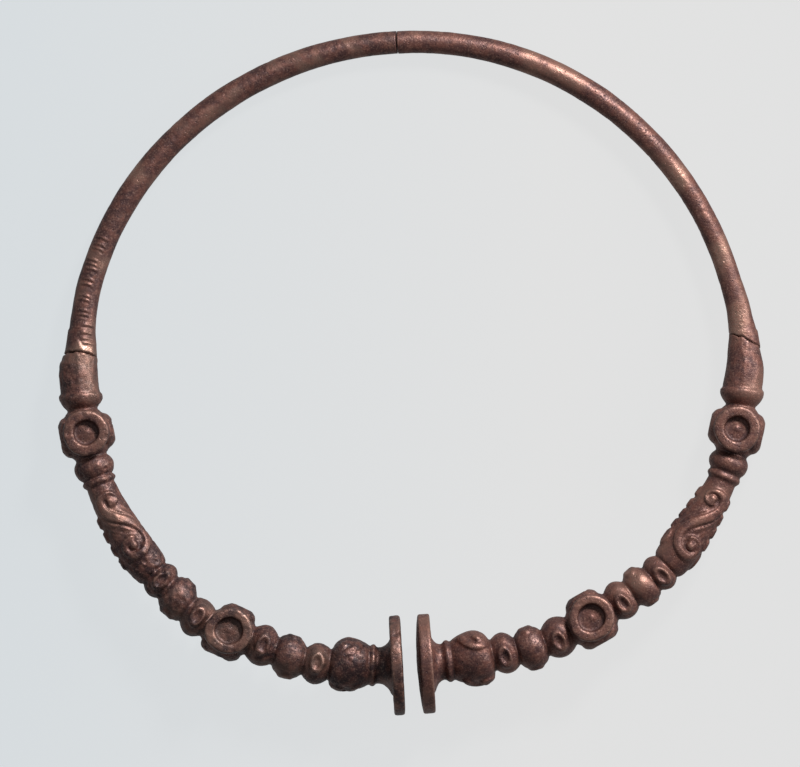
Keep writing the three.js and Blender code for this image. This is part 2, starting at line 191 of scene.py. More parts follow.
def value_noise(points, size, seed):
    """Soft noise from -1 to 1: random values at the corners of cubes of this size, eased between."""
    scaled = points / size
    cell = np.floor(scaled)
    part = scaled - cell
    part = part * part * (3.0 - 2.0 * part)
    total = np.zeros(len(points))
    for corner in range(8):
        step = np.array([corner & 1, corner >> 1 & 1, corner >> 2 & 1])
        weight = np.prod(np.where(step, part, 1.0 - part), axis=1)
        total += weight * cell_random(cell + step, seed)
    return total * 2.0 - 1.0


def layered_noise(points, size, layers, seed):
    """Soft noise of several sizes, each half the size and half the height of the one before."""
    total = sum(value_noise(points, size / 2**i, seed + i) / 2**i for i in range(layers))
    return total / (2.0 - 0.5 ** (layers - 1))


def noise(points, kind, seed):
    """Layered noise of a kind given as size, layers and height."""
    size, layers, height = kind
    return layered_noise(points, size, layers, seed) * height


def pit_distance(points, size, seed):
    """Distance to the nearest of the points strewn one to each cube, in cube sizes."""
    scaled = points / size
    cell = np.floor(scaled)
    nearest = np.full(len(points), np.inf)
    for step in np.ndindex(3, 3, 3):
        neighbour = cell + np.array(step) - 1.0
        strewn = [cell_random(neighbour, seed + axis) for axis in range(3)]
        gap = neighbour + np.stack(strewn, axis=1) - scaled
        nearest = np.minimum(nearest, np.linalg.norm(gap, axis=1))
    return nearest


# The ring's centre line


def centre_line():
    """Points of the centre line every quarter degree, and the length along it to each."""
    turn = np.radians(GAP_TURN + np.linspace(0.0, 360.0, 360 * STATIONS_PER_DEGREE + 1))
    radius = np.full_like(turn, RING_RADIUS)
    for lobes, height, wave_turn in RING_WAVES:
        radius += height * np.cos(lobes * (turn - math.radians(wave_turn)))
    line = np.stack([radius * np.cos(turn), radius * np.sin(turn)], axis=1)
    steps = np.linalg.norm(np.diff(line, axis=0), axis=1)
    return line, np.concatenate([[0.0], np.cumsum(steps)])


LINE, LINE_LENGTHS = centre_line()
RING_LENGTH = LINE_LENGTHS[-1]
BREAK_STATION = round((BACK_BREAK_TURN - GAP_TURN) * STATIONS_PER_DEGREE)
BREAK_LENGTH = float(LINE_LENGTHS[BREAK_STATION])
BREAK_PLACE = {"right": BREAK_LENGTH, "left": RING_LENGTH - BREAK_LENGTH}


def laid_mouldings(side):
    """Each moulding of an arm by name, with the place where it starts and the neck before it."""
    place, neck_before, laid = MOULDINGS_START[side], THROAT_RADIUS, {}
    for name, *lengths, crest, thin_crest, neck, roundness in MOULDINGS:
        length = lengths[SIDES.index(side)]
        laid[name] = {
            "start": place,
            "middle": place + length / 2,
            "end": place + length,
            "crest": crest,
            "thin_crest": thin_crest,
            "neck_before": neck_before,
            "neck": neck,
            "roundness": roundness,
        }
        place, neck_before = place + length, neck
    return laid


LAID = {side: laid_mouldings(side) for side in SIDES}
BELL_START = {side: LAID[side]["cups_2"]["end"] for side in SIDES}
COLLAR_START = {side: BELL_START[side] + BELL_LENGTH[side] for side in SIDES}


def hoop_radius(side, place):
    """Radius of the plain hoop, eased between widths at even stations up to the back break."""
    widths = np.array(HOOP_WIDTHS[side])
    share = np.clip((place - COLLAR_START[side]) / (BREAK_PLACE[side] - COLLAR_START[side]), 0.0, 1.0)
    station = share * (len(widths) - 1)
    before = np.minimum(station.astype(int), len(widths) - 2)
    eased = smooth(0.0, 1.0, station - before)
    return (widths[before] + (widths[before + 1] - widths[before]) * eased) / 2


def arm_radius(side, place):
    """Radius of the turned arm at each place: throat, mouldings, bell mouth, collar and hoop."""
    hoop = hoop_radius(side, place)
    collar = COLLAR_START[side]
    fade = 1.0 - smooth(collar, collar + COLLAR_LENGTH, place)
    radius = hoop + (COLLAR_RADIUS - hoop) * fade
    radius = np.where(place < MOULDINGS_START[side], THROAT_RADIUS, radius)
    for name, moulding in LAID[side].items():
        share = np.clip((place - moulding["start"]) / (moulding["end"] - moulding["start"]), 0.0, 1.0)
        if name == "ball":
            share = share**BALL_SKEW
        crest = moulding["crest"] + (moulding["thin_crest"] - moulding["crest"]) * share
        neck = moulding["neck_before"] + (moulding["neck"] - moulding["neck_before"]) * share
        swell = np.sin(np.pi * share) ** (1.0 / moulding["roundness"])
        inside = (place >= moulding["start"]) & (place < moulding["end"])
        radius = np.where(inside, neck + (crest - neck) * swell, radius)
    turn = (place - BELL_START[side]) / BELL_LENGTH[side] * BELL_END_TURN
    neck = LAID[side]["cups_2"]["neck"]
    bell = neck + (BELL_RADIUS - neck) * np.sin(np.radians(turn))
    return np.where((place >= BELL_START[side]) & (place < collar), bell, radius)


def sway(side, place):
    """Outward stand of the arm, eased from the middle of one moulding to the next and out to the hoop."""
    middles = [moulding["middle"] for moulding in LAID[side].values()]
    places, stands = zip(*COLLAR_SWAYS[side])
    stations = np.array([MOULDINGS_START[side], *middles, *places, COLLAR_SWAY_END])
    sways = np.array([0.0, *MOULDING_SWAYS[side], *stands, 0.0])
    inside = np.clip(place, stations[0], stations[-1])
    before = np.clip(np.searchsorted(stations, inside, side="right") - 1, 0, len(stations) - 2)
    share = smooth(0.0, 1.0, (inside - stations[before]) / (stations[before + 1] - stations[before]))
    return sways[before] + (sways[before + 1] - sways[before]) * share


def bend(points, side):
    """Straight points carried onto the ring: place along becomes length round the centre line."""
    along = points[:, 1] if side == "right" else RING_LENGTH - points[:, 1]
    centre = np.stack([np.interp(along, LINE_LENGTHS, LINE[:, axis]) for axis in (0, 1)], axis=1)
    tangents = np.gradient(LINE, LINE_LENGTHS, axis=0)
    tangent = np.stack([np.interp(along, LINE_LENGTHS, tangents[:, axis]) for axis in (0, 1)], axis=1)
    tangent /= np.linalg.norm(tangent, axis=1, keepdims=True)
    outward = points[:, 0] + sway(side, points[:, 1])
    x = centre[:, 0] + tangent[:, 1] * outward
    y = centre[:, 1] - tangent[:, 0] * outward
    return np.stack([x, y, points[:, 2]], axis=1)


def ring_tilt():
    """Angle at which the ring leans back on its discs and the back of its hoop."""
    disc_y = np.interp(DISC_FRONT_PLACE["right"], LINE_LENGTHS, LINE[:, 1])
    back_y = LINE[BREAK_STATION, 1]
    return -math.asin((DISC_RADIUS - HOOP_WIDTHS["right"][-1] / 2) / (back_y - disc_y))


def tilted(points):
    """Points of the level ring turned about X by the ring's tilt."""
    tilt = ring_tilt()
    y = points[:, 1] * math.cos(tilt) - points[:, 2] * math.sin(tilt)
    z = points[:, 1] * math.sin(tilt) + points[:, 2] * math.cos(tilt)
    return np.stack([points[:, 0], y, z], axis=1)


def ring_shift():
    """Move that lays the tilted ring where the frame has it, read from the reach of the right hoop."""
    right = tilted(bend(hoop_points("right"), "right"))
    low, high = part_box("hoop_right")
    disc_y = np.interp(DISC_FRONT_PLACE["right"], LINE_LENGTHS, LINE[:, 1])
    rise = DISC_RADIUS - disc_y * math.sin(ring_tilt()) - REST_WEAR
    return np.array([low.x / MM - right[:, 0].min(), high.y / MM - right[:, 1].max(), rise])


def hoop_points(side):
    """Points of the plain hoop between its joint and the back break, on a coarse grid."""
    start, end = JOINT_PLACE[side] + HOOP_GRID_START, BREAK_PLACE[side] - BREAK_GAP / 2
    place = np.linspace(start, end, HOOP_GRID_ROWS)[:, None]
    turn = np.radians(np.arange(0.0, 360.0, HOOP_GRID_TURN))[None, :]
    return rows_round_arm(place, arm_radius(side, place), turn).reshape(-1, 3)


def rows_round_arm(place, radius, turn):
    """Rows of points round the arm: each at its place along, its radius, and its turn from the top."""
    place, radius, turn = np.broadcast_arrays(place, radius, turn)
    return np.stack([radius * np.sin(turn), place, radius * np.cos(turn)], axis=-1)


def laid_down(points, side, shift):
    """Straight points bent, tilted, lowered onto the floor and put in metres."""
    laid = tilted(bend(points, side)) + shift
    laid[:, 2] = np.maximum(laid[:, 2], 0.0)
    return laid * MM


# Meshes


def closed_skin(rows, inside_out=False):
    """Quads over a grid of rows that close on themselves, and a fan to the middle of each end row."""
    count, columns = rows.shape[:2]
    index = np.arange(count * columns).reshape(count, columns)
    after = np.roll(index, -1, axis=1)
    quads = np.stack([index[:-1], after[:-1], after[1:], index[1:]], axis=-1).reshape(-1, 4)
    first, last = count * columns, count * columns + 1
    start_fan = np.stack([np.full(columns, first), after[0], index[0]], axis=-1)
    end_fan = np.stack([np.full(columns, last), index[-1], after[-1]], axis=-1)
    points = np.concatenate([rows.reshape(-1, 3), rows[:1].mean(axis=1), rows[-1:].mean(axis=1)])
    faces = [quads, start_fan, end_fan]
    if inside_out:
        faces = [face[:, ::-1] for face in faces]
    return points, faces


def mesh_from(name, points, faces):
    """A mesh from whole arrays: points, and a list of face arrays with the same corners in each."""
    mesh = bpy.data.meshes.new(name)
    corners = np.concatenate([face.reshape(-1) for face in faces]).astype(np.int32)
    sizes = np.concatenate([np.full(len(face), face.shape[1]) for face in faces]).astype(np.int32)
    mesh.vertices.add(len(points))
    mesh.vertices.foreach_set("co", np.asarray(points, np.float32).reshape(-1))
    mesh.loops.add(len(corners))
    mesh.loops.foreach_set("vertex_index", corners)
    mesh.polygons.add(len(sizes))
    starts = np.concatenate([[0], np.cumsum(sizes)[:-1]]).astype(np.int32)
    mesh.polygons.foreach_set("loop_start", starts)
    mesh.update(calc_edges=True)
    mesh.validate()
    return mesh


def joined(parts):
    """Several closed skins as one set of points and faces."""
    points = np.concatenate([part[0] for part in parts])
    starts = np.concatenate([[0], np.cumsum([len(part[0]) for part in parts])[:-1]])
    faces = [face + start for (_, part_faces), start in zip(parts, starts) for face in part_faces]
    return points, faces


def one_skin(name, parts, size):
    """The outer skin of overlapping closed parts, remade from cubes of this size."""
    points, faces = joined(parts)
    lumped = bpy.data.objects.new(name, mesh_from(name, points, faces))
    bpy.context.scene.collection.objects.link(lumped)
    remesh = lumped.modifiers.new("one skin", "REMESH")
    remesh.mode = "VOXEL"
    remesh.voxel_size = size
    evaluated = lumped.evaluated_get(bpy.context.evaluated_depsgraph_get())
    mesh = bpy.data.meshes.new_from_object(evaluated)
    old = lumped.data
    bpy.data.objects.remove(lumped)
    bpy.data.meshes.remove(old)
    return mesh


def mesh_points(mesh):
    """All vertex places of a mesh."""
    points = np.empty(len(mesh.vertices) * 3, np.float32)
    mesh.vertices.foreach_get("co", points)
    return points.reshape(-1, 3).astype(np.float64)


def mesh_normals(mesh):
    """All vertex normals of a mesh."""
    normals = np.empty(len(mesh.vertices) * 3, np.float32)
    mesh.vertex_normals.foreach_get("vector", normals)
    return normals.reshape(-1, 3).astype(np.float64)


def mesh_edges(mesh):
    """The two vertices of every edge of a mesh."""
    edges = np.empty(len(mesh.edges) * 2, np.int32)
    mesh.edges.foreach_get("vertices", edges)
    return edges.reshape(-1, 2)


def averaged(values, edges, rounds, share=0.6):
    """Values moved by a share towards the mean of their neighbours along the edges, some rounds."""
    one, other = edges[:, 0], edges[:, 1]
    neighbours = np.bincount(np.concatenate([one, other]), minlength=len(values))
    for _ in range(rounds):
        sums = [
            np.bincount(one, column[other], len(values)) + np.bincount(other, column[one], len(values))
            for column in values.T
        ]
        values = values + (np.stack(sums, axis=1) / neighbours[:, None] - values) * share
    return values


def set_points(mesh, points):
    """Moves all vertices of a mesh."""
    mesh.vertices.foreach_set("co", np.asarray(points, np.float32).reshape(-1))
    mesh.update()


def keep_values(mesh, name, values):
    """One number at each vertex, which the bronze reads by this name."""
    attribute = mesh.attributes.new(name, "FLOAT", "POINT")
    attribute.data.foreach_set("value", np.asarray(values, np.float32))


# Rounds of averaging that find small edges and whole beads
NEAR_ROUNDS = 5
WIDE_ROUNDS = 40
# Height at which a crest or a hollow starts to count, height at which it counts in full, and its share
CREST_NEAR = (0.02, 0.16, 0.35)
CREST_WIDE = (0.1, 0.6, 0.5)
# The hollow sets where the bronze gets darker, as crust and as painted shade in creases and recesses
HOLLOW_NEAR = (0.01, 0.1, 0.65)
HOLLOW_WIDE = (0.1, 0.7, 0.4)


def counted(height, low, high, share):
    """A share that grows from nothing at the low height to the whole share at the high one."""
    return smooth(low, high, height) * share


def mark_wear_and_shade(mesh, rubbing):
    """Keeps how far each vertex stands proud of the mesh round it, near and wide, as crest and hollow.

    The height above the averaged mesh, measured along the normal, is positive on crests and negative
    in hollows. A few rounds of averaging find small edges, and many rounds find whole beads. The crest
    is multiplied by the rubbing of its place. The hollow marks where the bronze is darkened, as crust
    and as painted shade in creases, necks and recesses.
    """
    points, normals, edges = mesh_points(mesh), mesh_normals(mesh), mesh_edges(mesh)
    near = averaged(points, edges, NEAR_ROUNDS)
    wide = averaged(near, edges, WIDE_ROUNDS)
    near_height = np.sum((points - near) * normals, axis=1)
    wide_height = np.sum((points - wide) * normals, axis=1)
    near_height, wide_height = averaged(np.stack([near_height, wide_height], axis=1), edges, 1).T
    crest = counted(near_height, *CREST_NEAR) + counted(wide_height, *CREST_WIDE)
    hollow = counted(-near_height, *HOLLOW_NEAR) + counted(-wide_height, *HOLLOW_WIDE)
    keep_values(mesh, "crest", np.minimum(crest, 1.0) * rubbing)
    keep_values(mesh, "hollow", np.minimum(hollow, 1.0))


# Relief on the arm: heights in millimetres over place along the arm and arc across a face. The left
# arm is more worn, so its relief is lower.

RELIEF_SHARE = {"right": 1.0, "left": 0.95}
COMMA_SHARE = {"right": 1.0, "left": 0.45}

EYE_HALF_ACROSS = 2.8
EYE_HALF_ALONG = 1.7
EYE_TURN = {"right": 14.0, "left": -1.0}
EYE_PLACE = {"right": -0.2, "left": -0.1}
EYE_SECTION = (
    (0, -0.42),
    (0.24, -0.4),
    (0.38, -0.18),
    (0.5, 0.22),
    (0.62, 0.46),
    (0.78, 0.44),
    (0.94, 0.2),
    (1.08, -0.02),
    (1.25, -0.05),
    (1.45, 0),
)
SIDE_EYE_SECTION = ((0, 0.15), (0.4, 0.2), (0.65, 0.34), (0.85, 0.28), (1, 0.06), (1.15, -0.05), (1.4, 0))
BAND_SECTION = ((0, 1), (0.6, 0.95), (0.82, 0.7), (0.98, 0), (1.12, -0.55), (1.35, -0.2), (1.7, 0))
KNOB_SECTION = ((0, 1), (0.4, 0.92), (0.7, 0.65), (1, -0.1), (1.25, -0.45), (1.6, 0))
RIDGE_SECTION = ((0, 1), (0.5, 0.75), (1, 0))

# Scrolls: the middle of the S across and along, its heading there, and the sizes of its two spirals
SCROLL_MIDDLE = {"right": (0.69, 12.3), "left": (-0.3, 13.8)}
SCROLL_HEADING = {"right": 37.6, "left": 43.2}
SCROLL_FAT_SIZE = {"right": 8.8, "left": 9.4}
SCROLL_THIN_SIZE = {"right": 6.6, "left": 6.1}
SCROLL_END_TURN = 330.0
SCROLL_SPREAD = 1.1
SCROLL_HALF_WIDTHS = {"fat": 0.85, "thin": 0.5, "middle": 1.1}
SCROLL_HEIGHT = 0.68
SCROLL_KNOB_RADIUS = 1.05
SCROLL_KNOB_HEIGHT = 0.8
SCROLL_RIDGE_GAP = 0.62
SCROLL_RIDGE_WIDTH = 0.36
SCROLL_RIDGE_HEIGHT = 0.32
# Shares of the scroll's line between which its band widens, narrows again, and has ridges beside it
SCROLL_WIDENS = (0.05, 0.42)
SCROLL_NARROWS = (0.58, 0.95)
SCROLL_ENDS = (0.2, 0.8)
SCROLL_RIDGE_STARTS = (0.3, 0.4)
SCROLL_RIDGE_ENDS = (0.6, 0.7)
SCROLL_THIN_KNOB_SHARE = 0.85
# Fine lines beside the middle of the scroll, and the distances from it between which they fade
SCROLL_LINE_GAP = 0.75
SCROLL_LINE_HEIGHT = 0.12
SCROLL_LINES_START = (1.9, 2.3)
SCROLL_LINES_END = (3.4, 4.2)
SCROLL_LINES_REACH = (3.5, 5.5)
SCROLL_LINES_STAGGER = 2.0
SCROLL_LINES_CLEARANCE = 1.4

COMMA_TURNS = (-35.0, 85.0, 205.0)
COMMA_START = (-1.9, 2.3)
COMMA_HEADING = 66.0
COMMA_SIZE = 6.0
COMMA_END_TURN = 300.0
COMMA_HALF_WIDTHS = (1.0, 0.65)
COMMA_HEIGHT = 0.62
COMMA_KNOB_RADIUS = 1.05
COMMA_KNOB_HEIGHT = 0.85

SCALLOP_PLACES = {"right": (8.2, 11.1, 13.9, 17.1), "left": (5.5, 8.6, 11.7, 14.8)}
SCALLOP_HALF_LENGTH = 1.25
SCALLOP_HALF_WIDTH = 1.5
SCALLOP_HEIGHT = 0.5
SCALLOP_SIDES = (0.75, 1.1)

BORDER_START = (2.5, 4.0)
BORDER_END = (18.5, 20.0)
BORDER_HALF_WIDTH = 1.5
BORDER_GROOVE_WIDTH = 0.35
BORDER_GROOVE_DEPTH = 0.3

LEAF_PLACE = 4.6
LEAF_HALF_LENGTH = 2.7
LEAF_HALF_WIDTH = 1.6
LEAF_HEIGHT = 0.55
LEAF_GROOVE_WIDTH = 0.35
LEAF_GROOVE_DEPTH = 0.25
LEAF_ROUNDNESS = (1.5, 1.6)
LEAF_SIDE = 0.35

# Distance over which carving fades out at the ends of its moulding, outside and inside them
CARVING_FADE = (0.2, 0.5)


def section_height(section, share):
    """Height over a section given as pairs of distance and height."""
    distances, heights = np.array(section, float).T
    return np.interp(share, distances, heights)


def arc_across(turn, middle_turn, radius):
    """Arc length from the middle of a face, whose turn from the top is in degrees."""
    gap = (np.degrees(turn) - middle_turn + 180.0) % 360.0 - 180.0
    return np.radians(gap) * radius


def oval_share(side, place, turn, moulding, face_turn):
    """Distance from the middle of an eye, as a share of the oval's size."""
    across = arc_across(turn, face_turn, moulding["crest"]) / EYE_HALF_ACROSS
    along = (place - moulding["middle"] - EYE_PLACE[side]) / EYE_HALF_ALONG
    return np.hypot(across, along)


def eye_relief(side, place, turn, moulding, face_turn):
    """An oval lip round a hollow."""
    return section_height(EYE_SECTION, oval_share(side, place, turn, moulding, face_turn))


def side_eye_relief(side, place, turn, moulding, face_turn):
    """A flatter oval plate with a low lip."""
    return section_height(SIDE_EYE_SECTION, oval_share(side, place, turn, moulding, face_turn))


def scroll_line(start, heading, size, end_turn=SCROLL_END_TURN, spread=SCROLL_SPREAD):
    """A line that leaves straight and whose turn grows with the square of the length travelled."""
    end = math.sqrt(2.0 * end_turn / 180.0) * size
    travelled = np.linspace(0.0, end, 120)
    direction = np.radians(heading - 90.0 * (travelled / size) ** 2)
    step = end / (len(travelled) - 1)
    across = start[0] + np.cumsum(np.sin(direction)) * step * spread
    along = start[1] + np.cumsum(np.cos(direction)) * step
    return np.stack([across, along], axis=1)


def scroll_eye(start, heading, size, spread=SCROLL_SPREAD):
    """The point that a scroll winds round, half its size ahead and half its size to the side."""
    direction = math.radians(heading - 45.0)
    reach = size * math.sqrt(0.5)
    return start[0] + math.sin(direction) * reach * spread, start[1] + math.cos(direction) * reach


def line_distance(across, along, line):
    """Distance from each point to the nearest of a line's points, and that point's share of the line."""
    gaps = (across[..., None] - line[:, 0]) ** 2 + (along[..., None] - line[:, 1]) ** 2
    nearest = gaps.argmin(axis=-1)
    return np.sqrt(gaps.min(axis=-1)), nearest / (len(line) - 1)


def knob_relief(across, along, middle, radius, height):
    """A round knob with a groove round it."""
    distance = np.hypot(across - middle[0], along - middle[1]) / radius
    return section_height(KNOB_SECTION, distance) * height


def window(value, start, end):
    """1 between two ranges, risen to over the first and fallen from over the second."""
    return smooth(*start, value) * (1.0 - smooth(*end, value))


def scroll_band(distance, share):
    """The scroll's band with a thin ridge beside its middle, and the band's half width."""
    ends = np.interp(share, SCROLL_ENDS, (SCROLL_HALF_WIDTHS["fat"], SCROLL_HALF_WIDTHS["thin"]))
    swell = window(share, SCROLL_WIDENS, SCROLL_NARROWS)
    half_width = ends + (SCROLL_HALF_WIDTHS["middle"] - ends) * swell
    band = section_height(BAND_SECTION, distance / half_width) * SCROLL_HEIGHT
    ridge = np.abs(distance - half_width - SCROLL_RIDGE_GAP) / SCROLL_RIDGE_WIDTH
    beside = window(share, SCROLL_RIDGE_STARTS, SCROLL_RIDGE_ENDS)
    return np.maximum(band, section_height(RIDGE_SECTION, ridge) * SCROLL_RIDGE_HEIGHT * beside), half_width


def scroll_lines(side, across, along):
    """Fine lines that run beside the middle of the scroll, a little further on at each side."""
    middle, slant = SCROLL_MIDDLE[side], math.radians(SCROLL_HEADING[side])
    aside = (across - middle[0]) * math.cos(slant) - (along - middle[1]) * math.sin(slant)
    ahead = (across - middle[0]) * math.sin(slant) + (along - middle[1]) * math.cos(slant)
    lines = np.cos(2.0 * np.pi * np.abs(aside) / SCROLL_LINE_GAP) * SCROLL_LINE_HEIGHT
    reach = np.abs(ahead + np.sign(aside) * SCROLL_LINES_STAGGER)
    field = window(np.abs(aside), SCROLL_LINES_START, SCROLL_LINES_END)
    return lines * (field * (1.0 - smooth(*SCROLL_LINES_REACH, reach)))


def scroll_relief(side, place, turn, moulding, face_turn):
    """The S scroll of one face: a band between two spirals with their knobs, ridges and fine lines."""
    across = arc_across(turn, face_turn, arm_radius(side, place))
    along = place - moulding["start"]
    middle, heading = SCROLL_MIDDLE[side], SCROLL_HEADING[side]
    spirals = (
        (heading, SCROLL_THIN_SIZE[side], SCROLL_THIN_KNOB_SHARE),
        (heading + 180.0, SCROLL_FAT_SIZE[side], 1.0),
    )
    thin, fat = (scroll_line(middle, spiral_heading, size) for spiral_heading, size, _ in spirals)
    distance, share = line_distance(across, along, np.concatenate([fat[::-1], thin]))
    height, half_width = scroll_band(distance, share)
    for spiral_heading, size, knob_share in spirals:
        knob = scroll_eye(middle, spiral_heading, size)
        radius = SCROLL_KNOB_RADIUS * knob_share
        relief = knob_relief(across, along, knob, radius, SCROLL_KNOB_HEIGHT * knob_share)
        inside = np.hypot(across - knob[0], along - knob[1]) < radius
        grooved = np.where(relief < 0, height + relief, height)
        height = np.where(inside, np.maximum(height, relief), grooved)
    clear = distance > half_width * SCROLL_LINES_CLEARANCE
    return height + scroll_lines(side, across, along) * clear


def scallop_relief(side, place, turn, moulding, face_turn):
    """A row of flat lobes along an edge: each is a rounded square with steep sides."""
    across = arc_across(turn, face_turn, arm_radius(side, place)) / SCALLOP_HALF_WIDTH
    height = np.zeros(np.broadcast(place, turn).shape)
    for lobe in SCALLOP_PLACES[side]:
        along = (place - moulding["start"] - lobe) / SCALLOP_HALF_LENGTH
        square = (np.abs(across) ** 4 + np.abs(along) ** 4) ** 0.25
        height = np.maximum(height, SCALLOP_HEIGHT * (1.0 - smooth(*SCALLOP_SIDES, square)))
    return height


def border_relief(side, place, turn, moulding, face_turn):
    """Two grooves along a smooth edge, which leave a plain border between them."""
    across = arc_across(turn, face_turn, arm_radius(side, place))
    along = place - moulding["start"]
    span = window(along, BORDER_START, BORDER_END)
    groove = np.exp(-(((np.abs(across) - BORDER_HALF_WIDTH) / BORDER_GROOVE_WIDTH) ** 2))
    return -BORDER_GROOVE_DEPTH * groove * span


def leaf_relief(side, place, turn, moulding, face_turn):
    """A pointed leaf with a groove down its middle, lying at the fat end of the scroll moulding."""
    across = arc_across(turn, face_turn, arm_radius(side, place))
    along = place - moulding["start"] - LEAF_PLACE
    aside = (np.abs(across) / LEAF_HALF_WIDTH) ** LEAF_ROUNDNESS[0]
    ahead = (np.abs(along) / LEAF_HALF_LENGTH) ** LEAF_ROUNDNESS[1]
    groove = np.exp(-((np.abs(across) / LEAF_GROOVE_WIDTH) ** 2))
    return (LEAF_HEIGHT - LEAF_GROOVE_DEPTH * groove) * smooth(0.0, LEAF_SIDE, 1.0 - aside - ahead)


def comma_relief(side, place, turn, moulding, face_turn):
    """A comma scroll on the ball: a ridge that winds in to a knob."""
    across = arc_across(turn, face_turn, moulding["crest"])
    along = place - moulding["start"]
    line = scroll_line(COMMA_START, COMMA_HEADING, COMMA_SIZE, COMMA_END_TURN, 1.0)
    distance, share = line_distance(across, along, line)
    half_width = np.interp(share, (0.0, 1.0), COMMA_HALF_WIDTHS)
    ridge = section_height(BAND_SECTION, distance / half_width) * COMMA_HEIGHT
    knob = scroll_eye(COMMA_START, COMMA_HEADING, COMMA_SIZE, 1.0)
    spot = knob_relief(across, along, knob, COMMA_KNOB_RADIUS, COMMA_KNOB_HEIGHT)
    return np.maximum(ridge, spot) * COMMA_SHARE[side]


def arm_relief(side, place, turn):
    """All carving of one arm, as a height over the turned outline."""
    height = np.zeros(np.broadcast(place, turn).shape)

    def carve(name, relief, *faces):
        moulding = LAID[side][name]
        outside, within = CARVING_FADE
        start, end = moulding["start"], moulding["end"]
        fade = window(place, (start - outside, start + within), (end - within, end + outside))
        inside = (fade > 0.0)[:, 0]
        for face in faces:
            height[inside] += relief(side, place[inside], turn, moulding, face) * fade[inside]

    upper = EYE_TURN[side]
    for name in ("face_eyes_1", "face_eyes_2", "face_eyes_3", "face_eyes_4"):
        carve(name, eye_relief, upper, upper + 180.0)
    for name in ("side_eyes_1", "side_eyes_2"):
        carve(name, side_eye_relief, upper + 90.0, upper + 270.0)
    carve("scrolls", scroll_relief, 0.0, 180.0)
    carve("scrolls", scallop_relief, 90.0)
    if side == "right":
        carve("scrolls", scallop_relief, 270.0)
        carve("scrolls", leaf_relief, 290.0, 110.0)
    else:
        carve("scrolls", border_relief, 270.0)
    carve("ball", comma_relief, *COMMA_TURNS)
    return height * RELIEF_SHARE[side]


# The parts of an arm, straight

# Radius of the bead inside the cups over the distance from its middle
CUP_CORE = ((0, 3.8), (2.9, 3.8), (3.4, 4.7), (4.1, 4.6), (4.6, 3.9))

# Teeth of the breaks as size, layers and height of noise, and the kink in the left one
TEETH = ((1.1, 1, 0.35), (2.6, 1, 0.3))
TEETH_SEEDS = {"right": 11, "left": 12}
BREAK_KINK = {"right": 0.0, "left": -0.5}
BREAK_KINK_RANGE = (-0.6, 0.2)

# Grid of an arm: turn between columns in degrees, step along the carving, length of the plain run to
# the break, and the rows of that run and of the trumpet
ARM_TURN_STEP = 2.0
ARM_STEP = 0.14
ARM_RUN_OUT = 5.0
RUN_OUT_ROWS = 40
TRUMPET_ROWS = 24
TRUMPET_CURVE = 3
TRUMPET_OVERLAP = 1.2


def cup_core(side, radius, place):
    """The bead inside the cup settings, kept below the floors of the cups."""
    for name in ("cups_1", "cups_2"):
        moulding = LAID[side][name]
        from_middle = np.abs(place - moulding["middle"])
        core = section_height(CUP_CORE, from_middle)
        half = (moulding["end"] - moulding["start"]) / 2
        radius = np.where(from_middle < half, np.minimum(radius, core), radius)
    return radius


def arm_end(side, turn, radius):
    """Place along the arm where it broke from the hoop: a slanted line round it with small teeth."""
    slant = -math.tan(math.radians(JOINT_SLANT[side])) * np.sin(turn) * radius
    ring = np.stack([np.sin(turn), np.cos(turn), np.zeros_like(turn)], axis=-1) * radius
    teeth = sum(noise(ring, kind, TEETH_SEEDS[side] + i) for i, kind in enumerate(TEETH))
    kink = BREAK_KINK[side] * smooth(*BREAK_KINK_RANGE, np.sin(turn) * np.cos(turn))
    leaning = BREAK_LEAN * np.cos(turn) * radius
    return JOINT_PLACE[side] + slant + teeth + kink + leaning


def arm_body(side):
    """The turned and carved arm from inside its disc to its broken end."""
    disc_back = DISC_FRONT_PLACE[side] + DISC_THICKNESS[side]
    turn = np.radians(np.arange(0.0, 360.0, ARM_TURN_STEP))[None, :]
    start = MOULDINGS_START[side]
    flare_place = np.linspace(disc_back - TRUMPET_OVERLAP, start, TRUMPET_ROWS)[:-1, None]
    share = np.clip((flare_place - disc_back) / (start - disc_back), 0.0, 1.0)
    flare = THROAT_RADIUS + (TRUMPET_RADIUS - THROAT_RADIUS) * (1.0 - share) ** TRUMPET_CURVE
    trumpet = rows_round_arm(flare_place, flare, turn)
    place = np.arange(start, JOINT_PLACE[side] - ARM_RUN_OUT, ARM_STEP)[:, None]
    radius = cup_core(side, arm_radius(side, place), place) + arm_relief(side, place, turn)
    turned = rows_round_arm(place, radius, turn)
    last = place[-1, 0]
    end = arm_end(side, turn[0], arm_radius(side, np.array(JOINT_PLACE[side])))
    share = np.linspace(0.0, 1.0, RUN_OUT_ROWS)[1:, None]
    end_place = last + (end[None, :] - last) * share
    broken = rows_round_arm(end_place, arm_radius(side, end_place), turn)
    return closed_skin(np.concatenate([trumpet, turned, broken]))


def round_section(outline, steps):
    """An outline's corners with even points between them."""
    outline = np.array(outline, float)
    lengths = np.concatenate([[0], np.cumsum(np.linalg.norm(np.diff(outline, axis=0), axis=1))])
    places = np.union1d(lengths, np.linspace(0.0, lengths[-1], steps))
    return np.stack([np.interp(places, lengths, outline[:, axis]) for axis in (0, 1)], axis=1)


def turned_round(outline, columns):
    """An outline of radius and height turned round the Z axis, as rows of points."""
    turn = np.radians(np.arange(columns) * 360.0 / columns)[None, :]
    radius, height = outline[:, :1], outline[:, 1:]
    height = np.broadcast_to(height, (len(outline), columns))
    return np.stack([radius * np.cos(turn), radius * np.sin(turn), height], axis=-1)


